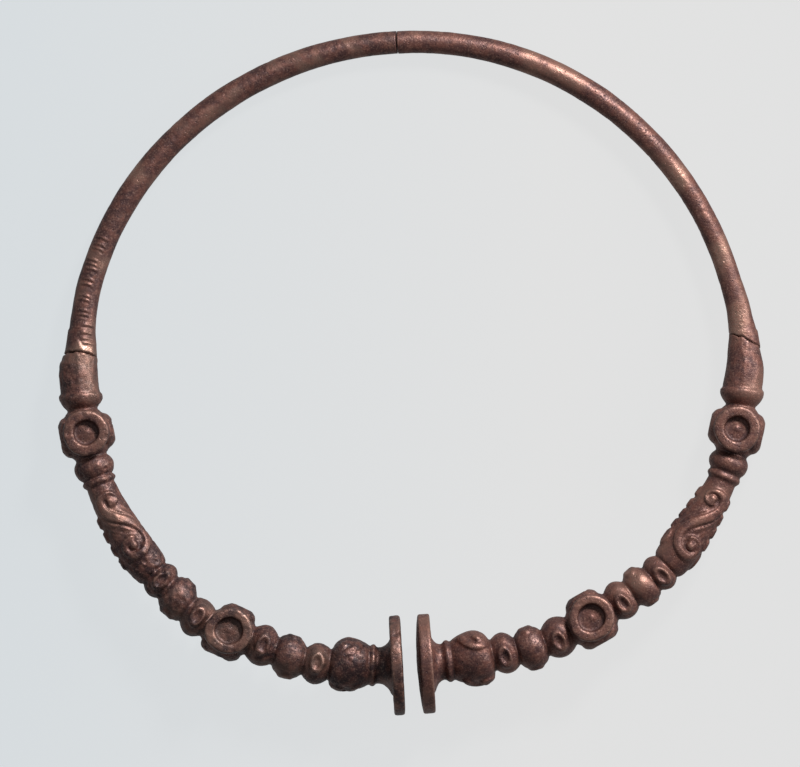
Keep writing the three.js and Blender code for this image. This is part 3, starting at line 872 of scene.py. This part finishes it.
def disc_part(side):
    """The disc: a low dome in front, a thick flat rim and a plain back, leaning a little."""
    front, thick = DISC_FRONT_PLACE[side], DISC_THICKNESS[side]
    dome, edge = DISC_DOME[side], DISC_EDGE_ROUND
    corner = edge * EDGE_CORNER
    outline = round_section(
        (
            (DISC_AXIS_GAP, 0.0),
            *((DISC_RADIUS * share, dome * rise) for share, rise in DISC_FRONT),
            (DISC_RADIUS - edge, dome),
            (DISC_RADIUS - corner, dome + corner),
            (DISC_RADIUS, dome + edge),
            (DISC_RADIUS, thick - edge),
            (DISC_RADIUS - corner, thick - corner),
            (DISC_RADIUS - edge, thick),
            (DISC_AXIS_GAP, thick),
        ),
        DISC_ROWS,
    )
    rows = turned_round(outline, DISC_COLUMNS)
    rows = np.stack([rows[..., 0], rows[..., 2] - thick / 2, -rows[..., 1]], axis=-1)
    rows[..., 1] *= 1.0 - DISC_WEDGE[side] * rows[..., 0] / DISC_RADIUS
    lean = math.radians(DISC_LEAN[side])
    x = rows[..., 0] * math.cos(lean) - rows[..., 1] * math.sin(lean)
    y = rows[..., 0] * math.sin(lean) + rows[..., 1] * math.cos(lean)
    rows = np.stack([x, y + front + thick / 2, rows[..., 2]], axis=-1)
    return closed_skin(rows, inside_out=True)


def cup_part(middle, hollow, kind, quarter):
    """A round cup setting: a flat ring with worn shoulders round a steep hollow with a small nipple."""
    radius = CUP_RADII[kind]
    floor = CUP_REACH - CUP_DEPTH
    outline = round_section(
        (
            *((place, floor + rise) for place, rise in CUP_NIPPLE),
            *((hollow + past, floor + rise) for past, rise in CUP_WALL),
            *((hollow + past, CUP_REACH + drop) for past, drop in CUP_LIP),
            *((place, CUP_REACH + drop) for place, drop in CUP_SHOULDERS[kind]),
            *((radius * share, CUP_REACH + drop) for share, drop in CUP_FOOT),
            (CUP_AXIS_GAP, CUP_REACH + CUP_FOOT[-1][1]),
        ),
        CUP_ROWS,
    )
    rows = turned_round(outline, CUP_COLUMNS)
    turn = math.radians(quarter * 90.0)
    x = rows[..., 0] * math.cos(turn) + rows[..., 2] * math.sin(turn)
    z = rows[..., 2] * math.cos(turn) - rows[..., 0] * math.sin(turn)
    return closed_skin(np.stack([x, rows[..., 1] + middle, z], axis=-1), inside_out=True)


def cup_parts(side):
    """The four cups round each of the two cup beads."""
    cups = []
    for name, hollows in CUP_HOLLOWS.items():
        for quarter in range(4):
            kind = ("face", "side")[quarter % 2]
            cups.append(cup_part(LAID[side][name]["middle"], hollows[kind], kind, quarter))
    return cups


def hoop_body(side, step, columns):
    """The plain hoop half from its jagged joint with the arm to the break in the back."""
    turn = np.radians(np.arange(columns) * 360.0 / columns)[None, :]
    start = arm_end(side, turn[0], arm_radius(side, np.array(JOINT_PLACE[side]))) + BREAK_GAP
    end = np.full_like(start, BREAK_PLACE[side] - BREAK_GAP / 2)
    end += {"right": BREAK_LEAN, "left": -BREAK_LEAN}[side] * np.cos(turn[0]) * HOOP_WIDTHS[side][-1] / 2
    count = round((BREAK_PLACE[side] - JOINT_PLACE[side]) / step)
    share = np.linspace(0.0, 1.0, count)[:, None]
    place = start[None, :] + (end - start)[None, :] * share
    return closed_skin(rows_round_arm(place, arm_radius(side, place), turn))


# Wear and corrosion. Each noise is given as size, layers and height, and has a seed of its own.

CAST_NOISE = (5.0, 3, 0.07)
GRAIN_NOISE = (0.9, 2, 0.05)
PITTED_NOISE = (6.0, 2, 1.0)
PITTED_RANGE = (-0.1, 0.5)
PIT_SIZE = 1.5
PIT_RANGE = (0.55, 0.1)
PIT_DEPTH = 0.16


def raised(mesh, points, heights):
    """Points moved along the mesh's normals by these heights."""
    return points + mesh_normals(mesh) * heights[:, None]


def roughened(mesh, points, strength, seed):
    """Moves each vertex along its normal by uneven casting, corrosion grain and strewn pits."""
    cast = noise(points, CAST_NOISE, seed)
    grain = noise(points, GRAIN_NOISE, seed + 10) * strength
    pitted = smooth(*PITTED_RANGE, noise(points, PITTED_NOISE, seed + 20))
    pits = smooth(*PIT_RANGE, pit_distance(points, PIT_SIZE, seed + 30)) * PIT_DEPTH * strength * pitted
    return raised(mesh, points, cast + grain - pits)


# Folds across the left hoop: place along it, and the outward place of each fold's middle
HOOP_FOLDS = (
    (112.3, -1.6),
    (113.2, -1.4),
    (114.5, -1.2),
    (116.2, -1.3),
    (118.3, 0.2),
    (119.2, 0.3),
    (121.5, 0.5),
    (122.3, 0.4),
    (124.8, 0.5),
    (125.9, 0.4),
    (128.2, 0.4),
    (129.2, 0.8),
    (130.1, 1.0),
    (132.7, 0.6),
    (133.6, 0.6),
    (135.1, 0.7),
)
FOLD_WIDTH = 0.26
FOLD_HALF_LENGTH = 1.3
FOLD_HEIGHT = 0.2
FOLD_CURVE = 0.12
# Groove before each fold, as a share of its height, and how far before it in fold widths
FOLD_GROOVE_SHARE = 0.6
FOLD_GROOVE_PLACE = 1.6
FOLD_ENDS = (1.2, 0.6)

# Low dents all over the hoop, drawn out along it
HOOP_DENTS = (3.0, 2, 0.07)
HOOP_DENTS_STRETCH = (1.0, 0.35, 1.0)
HOOP_DENTS_SEED = 71

# The raised patch beside each joint: where its far edge crosses the middle, how steeply that edge
# slants outward, and its height
PATCHES = {"right": (113.1, 0.0, 0.22), "left": (111.9, 1.1, 0.2)}
PATCH_EDGE = 0.26
PATCH_EDGE_NOISE = (1.3, 1, 0.25)
PATCH_EDGE_SEED = 75
PATCH_OUTWARD_RANGE = (-2.2, 0.6)


def hoop_wrinkles(side, points):
    """Short folds across the left hoop, a raised patch beside each joint, and low dents."""
    outward, place, up = points.T
    height = noise(points * HOOP_DENTS_STRETCH, HOOP_DENTS, HOOP_DENTS_SEED)
    edge, slope, rise = PATCHES[side]
    past_edge = place - edge - slope * outward + noise(points, PATCH_EDGE_NOISE, PATCH_EDGE_SEED)
    patch = smooth(PATCH_EDGE, -PATCH_EDGE, past_edge) * smooth(*PATCH_OUTWARD_RANGE, outward)
    height += rise * patch + collar_swell(side, points)
    if side == "left":
        for fold, middle in HOOP_FOLDS:
            along = (place - fold + FOLD_CURVE * (outward - middle) ** 2) / FOLD_WIDTH
            across = np.abs(outward - middle) / FOLD_HALF_LENGTH
            ridge = np.exp(-(along**2)) - FOLD_GROOVE_SHARE * np.exp(-((along + FOLD_GROOVE_PLACE) ** 2))
            height += FOLD_HEIGHT * ridge * smooth(*FOLD_ENDS, across) * (up > 0)
    return height


# How far the outward side of the collar and the hoop's start stands out, or is worn back, over the
# place along the arm
COLLAR_SWELLS = {
    "right": (
        (101.5, 0),
        (103.5, 0.1),
        (106.5, 0.15),
        (108.5, 0),
        (111, 0.1),
        (113, 0.3),
        (119, 0.35),
        (124, 0),
    ),
    "left": (
        (103, 0),
        (105, 0.15),
        (107.7, 0.42),
        (108.5, 0.12),
        (109.3, 0.1),
        (110, -0.3),
        (115, -0.2),
        (117, 0),
    ),
}
OUTER_SIDE_RANGE = (0.0, 0.9)


def collar_swell(side, points):
    """Height added on the outward side, so that the collar steps and swells as it runs into the hoop."""
    outer = smooth(*OUTER_SIDE_RANGE, points[:, 0] / np.hypot(points[:, 0], points[:, 2]))
    return section_height(COLLAR_SWELLS[side], points[:, 1]) * outer


# Scars that run along the collar and lumps on it, and where past the collar's start they begin. The
# lumps lie on the outer side of the left collar and all round the right one.
SCAR_NOISE = (1.1, 2, 0.11)
SCAR_STRETCH = 0.45
SCAR_SEED = 91
LUMP_NOISE = (3.2, 2, 0.16)
LUMP_SEED = 92
LUMP_OUTER_RANGE = (-0.2, 0.8)
RIGHT_LUMP_SHARE = 0.4
COLLAR_MARKS_START = (0.3, 1.5)


def collar_marks(side, points):
    """Worn lumps and lengthwise scars on the collar, between the bell's edge and the joint."""
    outward, place, up = points.T
    turn = np.arctan2(outward, up)
    past_start = smooth(*COLLAR_MARKS_START, place - COLLAR_START[side])
    unrolled = np.stack([turn * COLLAR_RADIUS, place * SCAR_STRETCH, place * 0.0], axis=1)
    scars = noise(unrolled, SCAR_NOISE, SCAR_SEED)
    outer = smooth(*LUMP_OUTER_RANGE, np.sin(turn)) if side == "left" else RIGHT_LUMP_SHARE
    lumps = noise(points, LUMP_NOISE, LUMP_SEED) * outer
    return past_start * (scars + lumps) + collar_swell(side, points)


# Share of dark crust on most of each side and on its beads, the stretch before the middle of the
# scrolls where it thins, and the crust added on the collar with the ranges where that comes and goes
CRUST = {"right": (0.0, 0.1), "left": (0.5, 1.0)}
CRUST_THINS_BEFORE = 2.0
COLLAR_CRUST = 0.9
COLLAR_CRUST_START = (-3.0, 1.0)
COLLAR_CRUST_END = (-1.0, 3.0)


def crust_share(side, place):
    """How much dark crust lies on the metal: most on the left arm, from its disc to the scrolls."""
    low, high = CRUST[side]
    scrolls = LAID[side]["scrolls"]
    beads = 1.0 - smooth(scrolls["start"] - CRUST_THINS_BEFORE, scrolls["middle"], place)
    collar = smooth(*COLLAR_CRUST_START, place - COLLAR_START[side])
    collar = collar * (1.0 - smooth(*COLLAR_CRUST_END, place - JOINT_PLACE[side]))
    return low + (high - low) * beads + COLLAR_CRUST * low * collar


# Distance from a break over which the rubbing of the crests comes in
RUBBED_FROM_JOINT = (0.3, 4.0)
RUBBED_FROM_BREAK = (0.3, 3.0)


def rubbing_share(side, place):
    """How much the crests are rubbed bright: not beside the breaks, and fully some way from them."""
    from_joint = smooth(*RUBBED_FROM_JOINT, np.abs(place - JOINT_PLACE[side]))
    return from_joint * smooth(*RUBBED_FROM_BREAK, np.abs(place - BREAK_PLACE[side]))


# Bronze


def add_node(tree, kind, **values):
    """A shader node of this kind, with its plain settings and its input values set by name."""
    node = tree.nodes.new(kind)
    for name, value in values.items():
        if name in node.inputs:
            node.inputs[name].default_value = value
        else:
            setattr(node, name, value)
    return node


def add_mix(tree, factor, one, other):
    """A colour mix whose factor and two colours are sockets or plain values."""
    mix = add_node(tree, "ShaderNodeMix", data_type="RGBA")
    for socket, value in zip((mix.inputs[0], mix.inputs[6], mix.inputs[7]), (factor, one, other)):
        if isinstance(value, bpy.types.NodeSocket):
            tree.links.new(value, socket)
        else:
            socket.default_value = value
    return mix.outputs[2]


def add_sum(tree, operation, *values):
    """A sum, product or other plain calculation on sockets or numbers."""
    node = add_node(tree, "ShaderNodeMath", operation=operation)
    for socket, value in zip(node.inputs, values):
        if isinstance(value, bpy.types.NodeSocket):
            tree.links.new(value, socket)
        else:
            socket.default_value = value
    return node.outputs[0]


def add_range(tree, value, low, high, new_low=0.0, new_high=1.0):
    """A number carried from one range to another, and held inside it."""
    node = add_node(tree, "ShaderNodeMapRange")
    tree.links.new(value, node.inputs["Value"])
    for name, number in zip(("From Min", "From Max", "To Min", "To Max"), (low, high, new_low, new_high)):
        node.inputs[name].default_value = number
    return node.outputs["Result"]


def add_noise(tree, place, scale, detail):
    """Soft noise read at Object coordinates."""
    node = add_node(tree, "ShaderNodeTexNoise", Scale=scale, Detail=detail)
    tree.links.new(place, node.inputs["Vector"])
    return node.outputs["Fac"]


# Noises by Object coordinates, in waves per metre
BROAD_SCALE = 110.0
MOTTLE_SCALE = 600.0
GRAIN_SCALE = 2600.0
SPECK_SCALE = 1400.0
BUMP_DISTANCE = 0.00008

# Ranges of those noises, as low, high and what they become there, and shares of what they bring
DARK_RANGE = (0.35, 0.65)
RED_RANGE = (0.42, 0.62, 0.0, 0.55)
PIT_SPOTS = (0.12, 0.32, 1.0, 0.0)
PIT_FIELD = (0.45, 0.6)
PIT_SHARE = 0.7
CRUST_RANGE = (0.35, 0.6, 0.85, 0.3)
RUBBED_CREST = (0.36, 0.66, 0.0, 0.6)
RUBBED_PATCH = (0.5, 0.7)
RUBBED_GRAIN = (0.4, 0.6)
RUBBED_MOST = 0.9
DARK_GRAIN = (0.5, 0.68, 0.0, 0.32)
BRIGHT_GRAIN = (0.47, 0.3, 0.0, 0.22)
# Share by which the hollows are darkened, as crust and as painted shade
HOLLOW_CRUST_AND_SHADE_SHARE = 0.8
HOLLOW_ROUGHNESS = 0.15
GRAIN_ROUGHNESS = (0.3, 0.7, -0.06, 0.06)
GLOSSY_FROM = 0.8
METAL_FROM = 0.6
WORN_METAL = 0.9
MOTTLE_HEIGHT = 1.2


def bronze_material(name, look, rubbed):
    """Old bronze: red-brown patina, darkened in the hollows as crust and as painted shade, with rubbed metal
    on crests and in patches.
    """
    material = bpy.data.materials.new(name)
    material.use_nodes = True
    tree = material.node_tree
    tree.nodes.clear()
    place = add_node(tree, "ShaderNodeTexCoord").outputs["Object"]
    crest, hollow, crust = (
        add_node(tree, "ShaderNodeAttribute", attribute_name=kept).outputs["Fac"]
        for kept in ("crest", "hollow", "crust")
    )
    broad = add_noise(tree, place, BROAD_SCALE, 3.0)
    mottle = add_noise(tree, place, MOTTLE_SCALE, 4.0)
    grain = add_noise(tree, place, GRAIN_SCALE, 3.0)
    speck = add_node(tree, "ShaderNodeTexVoronoi", Scale=SPECK_SCALE)
    tree.links.new(place, speck.inputs["Vector"])

    patina = add_mix(tree, add_range(tree, broad, *DARK_RANGE), look.patina_dark, look.patina)
    patina = add_mix(tree, add_range(tree, mottle, *RED_RANGE), patina, look.patina_red)
    spots, field = add_range(tree, speck.outputs["Distance"], *PIT_SPOTS), add_range(tree, grain, *PIT_FIELD)
    pits = add_sum(tree, "MULTIPLY", spots, field)
    crusted = add_sum(tree, "MULTIPLY", crust, add_range(tree, mottle, *CRUST_RANGE))
    patina = add_mix(tree, crusted, patina, look.crust_and_shade)
    patina = add_mix(tree, add_sum(tree, "MULTIPLY", pits, PIT_SHARE), patina, look.crust_and_shade)
    worn = add_sum(tree, "MULTIPLY", crest, add_range(tree, mottle, *RUBBED_CREST))
    patch, speckle = add_range(tree, broad, *RUBBED_PATCH), add_range(tree, grain, *RUBBED_GRAIN)
    patches = add_sum(tree, "MULTIPLY", patch, speckle)
    worn = add_sum(tree, "ADD", worn, add_sum(tree, "MULTIPLY", patches, rubbed))
    worn = add_sum(tree, "MINIMUM", worn, RUBBED_MOST)
    colour = add_mix(tree, worn, patina, look.worn)
    colour = add_mix(tree, add_range(tree, grain, *DARK_GRAIN), colour, look.crust_and_shade)
    colour = add_mix(tree, add_range(tree, grain, *BRIGHT_GRAIN), colour, look.worn)
    # Painted shade as well as crust: creases, necks and cup recesses darkened towards the dark crust colour
    colour = add_mix(tree, add_sum(tree, "MULTIPLY", hollow, HOLLOW_CRUST_AND_SHADE_SHARE), colour, look.crust_and_shade)
    rough = add_range(tree, worn, 0.0, GLOSSY_FROM, look.patina_roughness, look.worn_roughness)
    rough = add_sum(tree, "ADD", rough, add_sum(tree, "MULTIPLY", hollow, HOLLOW_ROUGHNESS))
    rough = add_sum(tree, "ADD", rough, add_range(tree, grain, *GRAIN_ROUGHNESS))

    relief = add_sum(tree, "ADD", grain, add_sum(tree, "MULTIPLY", mottle, MOTTLE_HEIGHT))
    relief = add_sum(tree, "SUBTRACT", relief, pits)
    bump = add_node(tree, "ShaderNodeBump", Strength=look.grain_strength, Distance=BUMP_DISTANCE)
    tree.links.new(relief, bump.inputs["Height"])

    shader = add_node(tree, "ShaderNodeBsdfPrincipled")
    metallic = add_range(tree, worn, 0.0, METAL_FROM, look.patina_metal, WORN_METAL)
    tree.links.new(metallic, shader.inputs["Metallic"])
    tree.links.new(colour, shader.inputs["Base Color"])
    tree.links.new(rough, shader.inputs["Roughness"])
    tree.links.new(bump.outputs["Normal"], shader.inputs["Normal"])
    output = add_node(tree, "ShaderNodeOutputMaterial")
    tree.links.new(shader.outputs["BSDF"], output.inputs["Surface"])
    return material


# Node and slot of each kind of piece, and the seeds of its roughness
KINDS = {
    "arm": ("terminal", "cast_bronze", {"right": 26, "left": 25}),
    "hoop": ("hoop", "hoop_bronze", {"right": 56, "left": 55}),
}


def weathered_piece(side, kind, mesh, points, corrosion, shift, material):
    """A straight piece given its grain, crust and wear, laid down, and made to stand for its node."""
    node, slot, seeds = KINDS[kind]
    node, name = f"{node}_{side}", f"{side}_{kind}"
    set_points(mesh, roughened(mesh, points, corrosion, seeds[side]))
    keep_values(mesh, "crust", crust_share(side, points[:, 1]))
    if side == "left":
        mesh.flip_normals()
    set_points(mesh, laid_down(mesh_points(mesh), side, shift) / MM)
    mark_wear_and_shade(mesh, rubbing_share(side, points[:, 1]))
    set_points(mesh, mesh_points(mesh) * MM)
    mesh.name = name
    mesh.materials.clear()
    mesh.materials.append(material)
    mesh.shade_smooth()
    piece = bpy.data.objects.new(name, mesh)
    bpy.context.scene.collection.objects.link(piece)
    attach(piece, "root")
    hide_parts(node)


# Settings


def colour_setting(name, description, default):
    """A linear colour that a user can change."""
    return FloatVectorProperty(
        name=name, description=description, subtype="COLOR", size=4, min=0.0, max=1.0, default=default
    )


def number_setting(name, description, default, low, high, **more):
    """A number that a user can change between two limits."""
    return FloatProperty(name=name, description=description, default=default, min=low, max=high, **more)


class ReliefSettings(PropertyGroup):
    """Fineness and wear of the ring's surface."""

    skin_size: number_setting(
        "Skin Size", "Size of the cubes that the arms' skin is remade from, in millimetres", 0.254, 0.2, 1.0
    )
    hoop_step: number_setting(
        "Hoop Step", "Distance between the rows of points along the hoop, in millimetres", 0.25, 0.1, 2.0
    )
    hoop_columns: IntProperty(
        name="Hoop Columns", description="Number of points round the hoop", default=72, min=12, max=200
    )
    corrosion_right: number_setting("Right Corrosion", "Roughness of the right arm", 0.6, 0.0, 3.0)
    corrosion_left: number_setting("Left Corrosion", "Roughness of the left arm", 1.7, 0.0, 3.0)
    corrosion_hoop: number_setting("Hoop Corrosion", "Roughness of the hoop", 0.45, 0.0, 3.0)


class BronzeSettings(PropertyGroup):
    """Colours and gloss of the bronze."""

    patina: colour_setting("Patina", "Red-brown patina", (0.145, 0.0625, 0.05, 1.0))
    patina_dark: colour_setting("Dark Patina", "Patina where it is darkest", (0.07, 0.029, 0.028, 1.0))
    patina_red: colour_setting("Red Patina", "Redder mottling", (0.2, 0.079, 0.058, 1.0))
    worn: colour_setting("Worn Metal", "Metal rubbed bright on the crests", (0.56, 0.36, 0.28, 1.0))
    # Dark crust colour, also used for the painted shade laid in the hollows
    crust_and_shade: colour_setting("Recess", "Dark crust in hollows and pits", (0.022, 0.011, 0.014, 1.0))
    arm_patches: number_setting("Arm Patches", "Rubbed patches on the arms", 0.35, 0.0, 1.0)
    hoop_patches: number_setting("Hoop Patches", "Rubbed patches on the hoop", 0.8, 0.0, 1.0)
    patina_metal: number_setting("Patina Metal", "How metallic the patina is", 0.45, 0.0, 1.0)
    patina_roughness: number_setting("Patina Roughness", "Roughness of the patina", 0.46, 0.0, 1.0)
    worn_roughness: number_setting("Worn Roughness", "Roughness of the rubbed metal", 0.3, 0.0, 1.0)
    grain_strength: number_setting("Grain Strength", "Strength of the finest grain", 0.8, 0.0, 1.0)


class StageSettings(PropertyGroup):
    """Floor, lights and camera."""

    # Painted light on the floor: darker and cooler on the left, lighter on the right, where the light comes
    # from
    floor_shaded_left: colour_setting("Cool Floor", "Floor colour on the left", (0.655, 0.692, 0.715, 1.0))
    floor_lit_right: colour_setting("Warm Floor", "Floor colour on the right", (0.72, 0.722, 0.722, 1.0))
    floor_glow: number_setting("Floor Glow", "How bright the floor looks", 1.0, 0.0, 6.0)
    floor_light: number_setting("Floor Light", "Light that the floor throws on the ring", 0.45, 0.0, 4.0)
    key_power: number_setting("Key Power", "Power of the key light", 15.5, 0.0, 1000.0, unit="POWER")
    side_power: number_setting("Side Power", "Power of the low side light", 4.2, 0.0, 1000.0, unit="POWER")
    fill_power: number_setting("Fill Power", "Power of the fill light", 0.5, 0.0, 1000.0, unit="POWER")
    sky: number_setting("Sky", "Strength of the even light from all round", 0.165, 0.0, 3.0)
    camera_height: number_setting("Camera Height", "Height of the camera", 2.5, 0.3, 100.0, unit="LENGTH")


# Pieces

# Share by which the arms' remade skin is drawn towards its mean, which takes off its steps
SKIN_SOFTENING = 0.35


class NECKRING_OT_terminals(Operator):
    """Make the two carved arms with their discs, beads, cups, scrolls and collars"""

    bl_idname = "neck_ring.terminals"
    bl_label = "Carved Arms"

    def execute(self, context):
        relief, bronze = context.scene.neck_ring_relief, context.scene.neck_ring_bronze
        material = bronze_material("cast_bronze_patina", bronze, bronze.arm_patches)
        shift = ring_shift()
        corrosion = {"right": relief.corrosion_right, "left": relief.corrosion_left}
        for side in SIDES:
            parts = [disc_part(side), arm_body(side), *cup_parts(side)]
            mesh = one_skin("arm", parts, relief.skin_size)
            points = averaged(mesh_points(mesh), mesh_edges(mesh), 1, SKIN_SOFTENING)
            set_points(mesh, points)
            points = raised(mesh, points, collar_marks(side, points))
            set_points(mesh, points)
            weathered_piece(side, "arm", mesh, points, corrosion[side], shift, material)
        return {"FINISHED"}


class NECKRING_OT_hoops(Operator):
    """Make the two halves of the plain hoop"""

    bl_idname = "neck_ring.hoops"
    bl_label = "Hoop Halves"

    def execute(self, context):
        relief, bronze = context.scene.neck_ring_relief, context.scene.neck_ring_bronze
        material = bronze_material("hoop_bronze_patina", bronze, bronze.hoop_patches)
        shift = ring_shift()
        for side in SIDES:
            straight, faces = hoop_body(side, relief.hoop_step, relief.hoop_columns)
            mesh = mesh_from("hoop", straight, faces)
            points = raised(mesh, straight, hoop_wrinkles(side, straight))
            set_points(mesh, points)
            weathered_piece(side, "hoop", mesh, points, relief.corrosion_hoop, shift, material)
        return {"FINISHED"}


# Stage: a pale floor, soft lights and a camera that looks straight down

# Width that the photo covers at the ring's middle height and the place of its middle, and the camera
PHOTO_WIDTH_MM = 170.0
PHOTO_MIDDLE_MM = (-2.455, -2.355)
MIDDLE_HEIGHT = 0.006
SENSOR_WIDTH = 36.0
NEAR_CLIP = 0.01

# Floor in metres, the places across it between which it goes from painted shade, darker and cooler, on the
# left to painted light on the right, and how dull it is
FLOOR_SIZE = 4.0
FLOOR_DROP = 0.0001
FLOOR_SHADE_TO_LIGHT = (-0.09, 0.03)
FLOOR_DULLING = 0.97
FLOOR_ROUGHNESS = 0.9
FLOOR_SHEEN = 0.1

SKY_COLOUR = (0.9, 0.93, 0.95, 1.0)
# Lights: the setting of the power, place, size and colour
LIGHTS = {
    "key_light": ("key_power", (0.4, 0.7, 0.65), 0.2, (1.0, 0.98, 0.95)),
    "side_light": ("side_power", (0.9, 0.2, 0.36), 0.25, (1.0, 0.98, 0.95)),
    "fill_light": ("fill_power", (-0.6, 0.1, 0.6), 0.6, (0.92, 0.97, 1.0)),
}


def floor_material(look):
    """Pale floor with painted light, darker and cooler on the left and lighter on the right, that glows
    evenly so that shadows stay faint.
    """
    material = bpy.data.materials.new("pale_floor")
    material.use_nodes = True
    tree = material.node_tree
    tree.nodes.clear()
    place = add_node(tree, "ShaderNodeTexCoord").outputs["Object"]
    split = add_node(tree, "ShaderNodeSeparateXYZ")
    tree.links.new(place, split.inputs[0])
    # Painted light: the floor is mixed from its shaded left colour to its lit right colour
    across = add_range(tree, split.outputs["X"], *FLOOR_SHADE_TO_LIGHT)
    colour = add_mix(tree, across, look.floor_shaded_left, look.floor_lit_right)
    shader = add_node(tree, "ShaderNodeBsdfPrincipled", Roughness=FLOOR_ROUGHNESS)
    shader.inputs["Specular IOR Level"].default_value = FLOOR_SHEEN
    seen = add_node(tree, "ShaderNodeLightPath").outputs["Is Camera Ray"]
    glow = add_range(tree, seen, 0.0, 1.0, look.floor_light, look.floor_glow)
    tree.links.new(glow, shader.inputs["Emission Strength"])
    dulled = add_mix(tree, FLOOR_DULLING, colour, (0.0, 0.0, 0.0, 1.0))
    tree.links.new(dulled, shader.inputs["Base Color"])
    tree.links.new(colour, shader.inputs["Emission Color"])
    output = add_node(tree, "ShaderNodeOutputMaterial")
    tree.links.new(shader.outputs["BSDF"], output.inputs["Surface"])
    return material


def soft_light(name, power, place, size, colour):
    """A square area light at a place, aimed at the ring."""
    data = bpy.data.lights.new(name, "AREA")
    data.shape = "SQUARE"
    data.size = size
    data.energy = power
    data.color = colour
    light = bpy.data.objects.new(name, data)
    light.location = place
    aim = -light.location.normalized()
    light.rotation_euler = aim.to_track_quat("-Z", "Y").to_euler()
    bpy.context.scene.collection.objects.link(light)


class NECKRING_OT_stage(Operator):
    """Make the floor, the lights and the camera"""

    bl_idname = "neck_ring.stage"
    bl_label = "Stage"

    def execute(self, context):
        look = context.scene.neck_ring_stage
        half = FLOOR_SIZE / 2
        corners = np.array([(-half, -half, 0), (half, -half, 0), (half, half, 0), (-half, half, 0)])
        floor_mesh = mesh_from("floor", corners, [np.array([[0, 1, 2, 3]])])
        floor_mesh.materials.append(floor_material(look))
        floor = bpy.data.objects.new("floor", floor_mesh)
        floor.location.z = -FLOOR_DROP
        context.scene.collection.objects.link(floor)
        for name, (power, *placing) in LIGHTS.items():
            soft_light(name, getattr(look, power), *placing)
        world = bpy.data.worlds.new("even_light")
        world.use_nodes = True
        background = world.node_tree.nodes["Background"]
        background.inputs["Color"].default_value = SKY_COLOUR
        background.inputs["Strength"].default_value = look.sky
        context.scene.world = world
        context.scene.view_settings.view_transform = "Standard"
        camera_data = bpy.data.cameras.new("camera")
        camera_data.sensor_width = SENSOR_WIDTH
        reach = look.camera_height - MIDDLE_HEIGHT
        camera_data.lens = SENSOR_WIDTH * reach / (PHOTO_WIDTH_MM * MM)
        camera_data.clip_start = NEAR_CLIP
        camera = bpy.data.objects.new("camera", camera_data)
        camera.location = (PHOTO_MIDDLE_MM[0] * MM, PHOTO_MIDDLE_MM[1] * MM, look.camera_height)
        context.scene.collection.objects.link(camera)
        context.scene.camera = camera
        return {"FINISHED"}


class NECKRING_PT_panel(Panel):
    """Sizes, colours and pieces of the neck ring"""

    bl_idname = "NECKRING_PT_panel"
    bl_label = "Neck Ring"
    bl_space_type = "VIEW_3D"
    bl_region_type = "UI"
    bl_category = "Neck Ring"

    def draw(self, context):
        for title, settings in (
            ("Surface", context.scene.neck_ring_relief),
            ("Bronze", context.scene.neck_ring_bronze),
            ("Stage", context.scene.neck_ring_stage),
        ):
            box = self.layout.box()
            box.label(text=title)
            for name in settings.__annotations__:
                box.prop(settings, name)
        for operator in PIECE_OPERATORS:
            self.layout.operator(operator.bl_idname)


SETTINGS = {
    "neck_ring_relief": ReliefSettings,
    "neck_ring_bronze": BronzeSettings,
    "neck_ring_stage": StageSettings,
}
PIECE_OPERATORS = (NECKRING_OT_stage, NECKRING_OT_terminals, NECKRING_OT_hoops)
CLASSES = (*SETTINGS.values(), *PIECE_OPERATORS, NECKRING_PT_panel)


def register():
    for item in CLASSES:
        bpy.utils.register_class(item)
    for name, group in SETTINGS.items():
        setattr(bpy.types.Scene, name, PointerProperty(type=group))


def unregister():
    for name in SETTINGS:
        delattr(bpy.types.Scene, name)
    for item in reversed(CLASSES):
        bpy.utils.unregister_class(item)


def main():
    register()
    bpy.ops.neck_ring.stage()
    bpy.ops.neck_ring.terminals()
    bpy.ops.neck_ring.hoops()


if __name__ == "__main__":
    main()
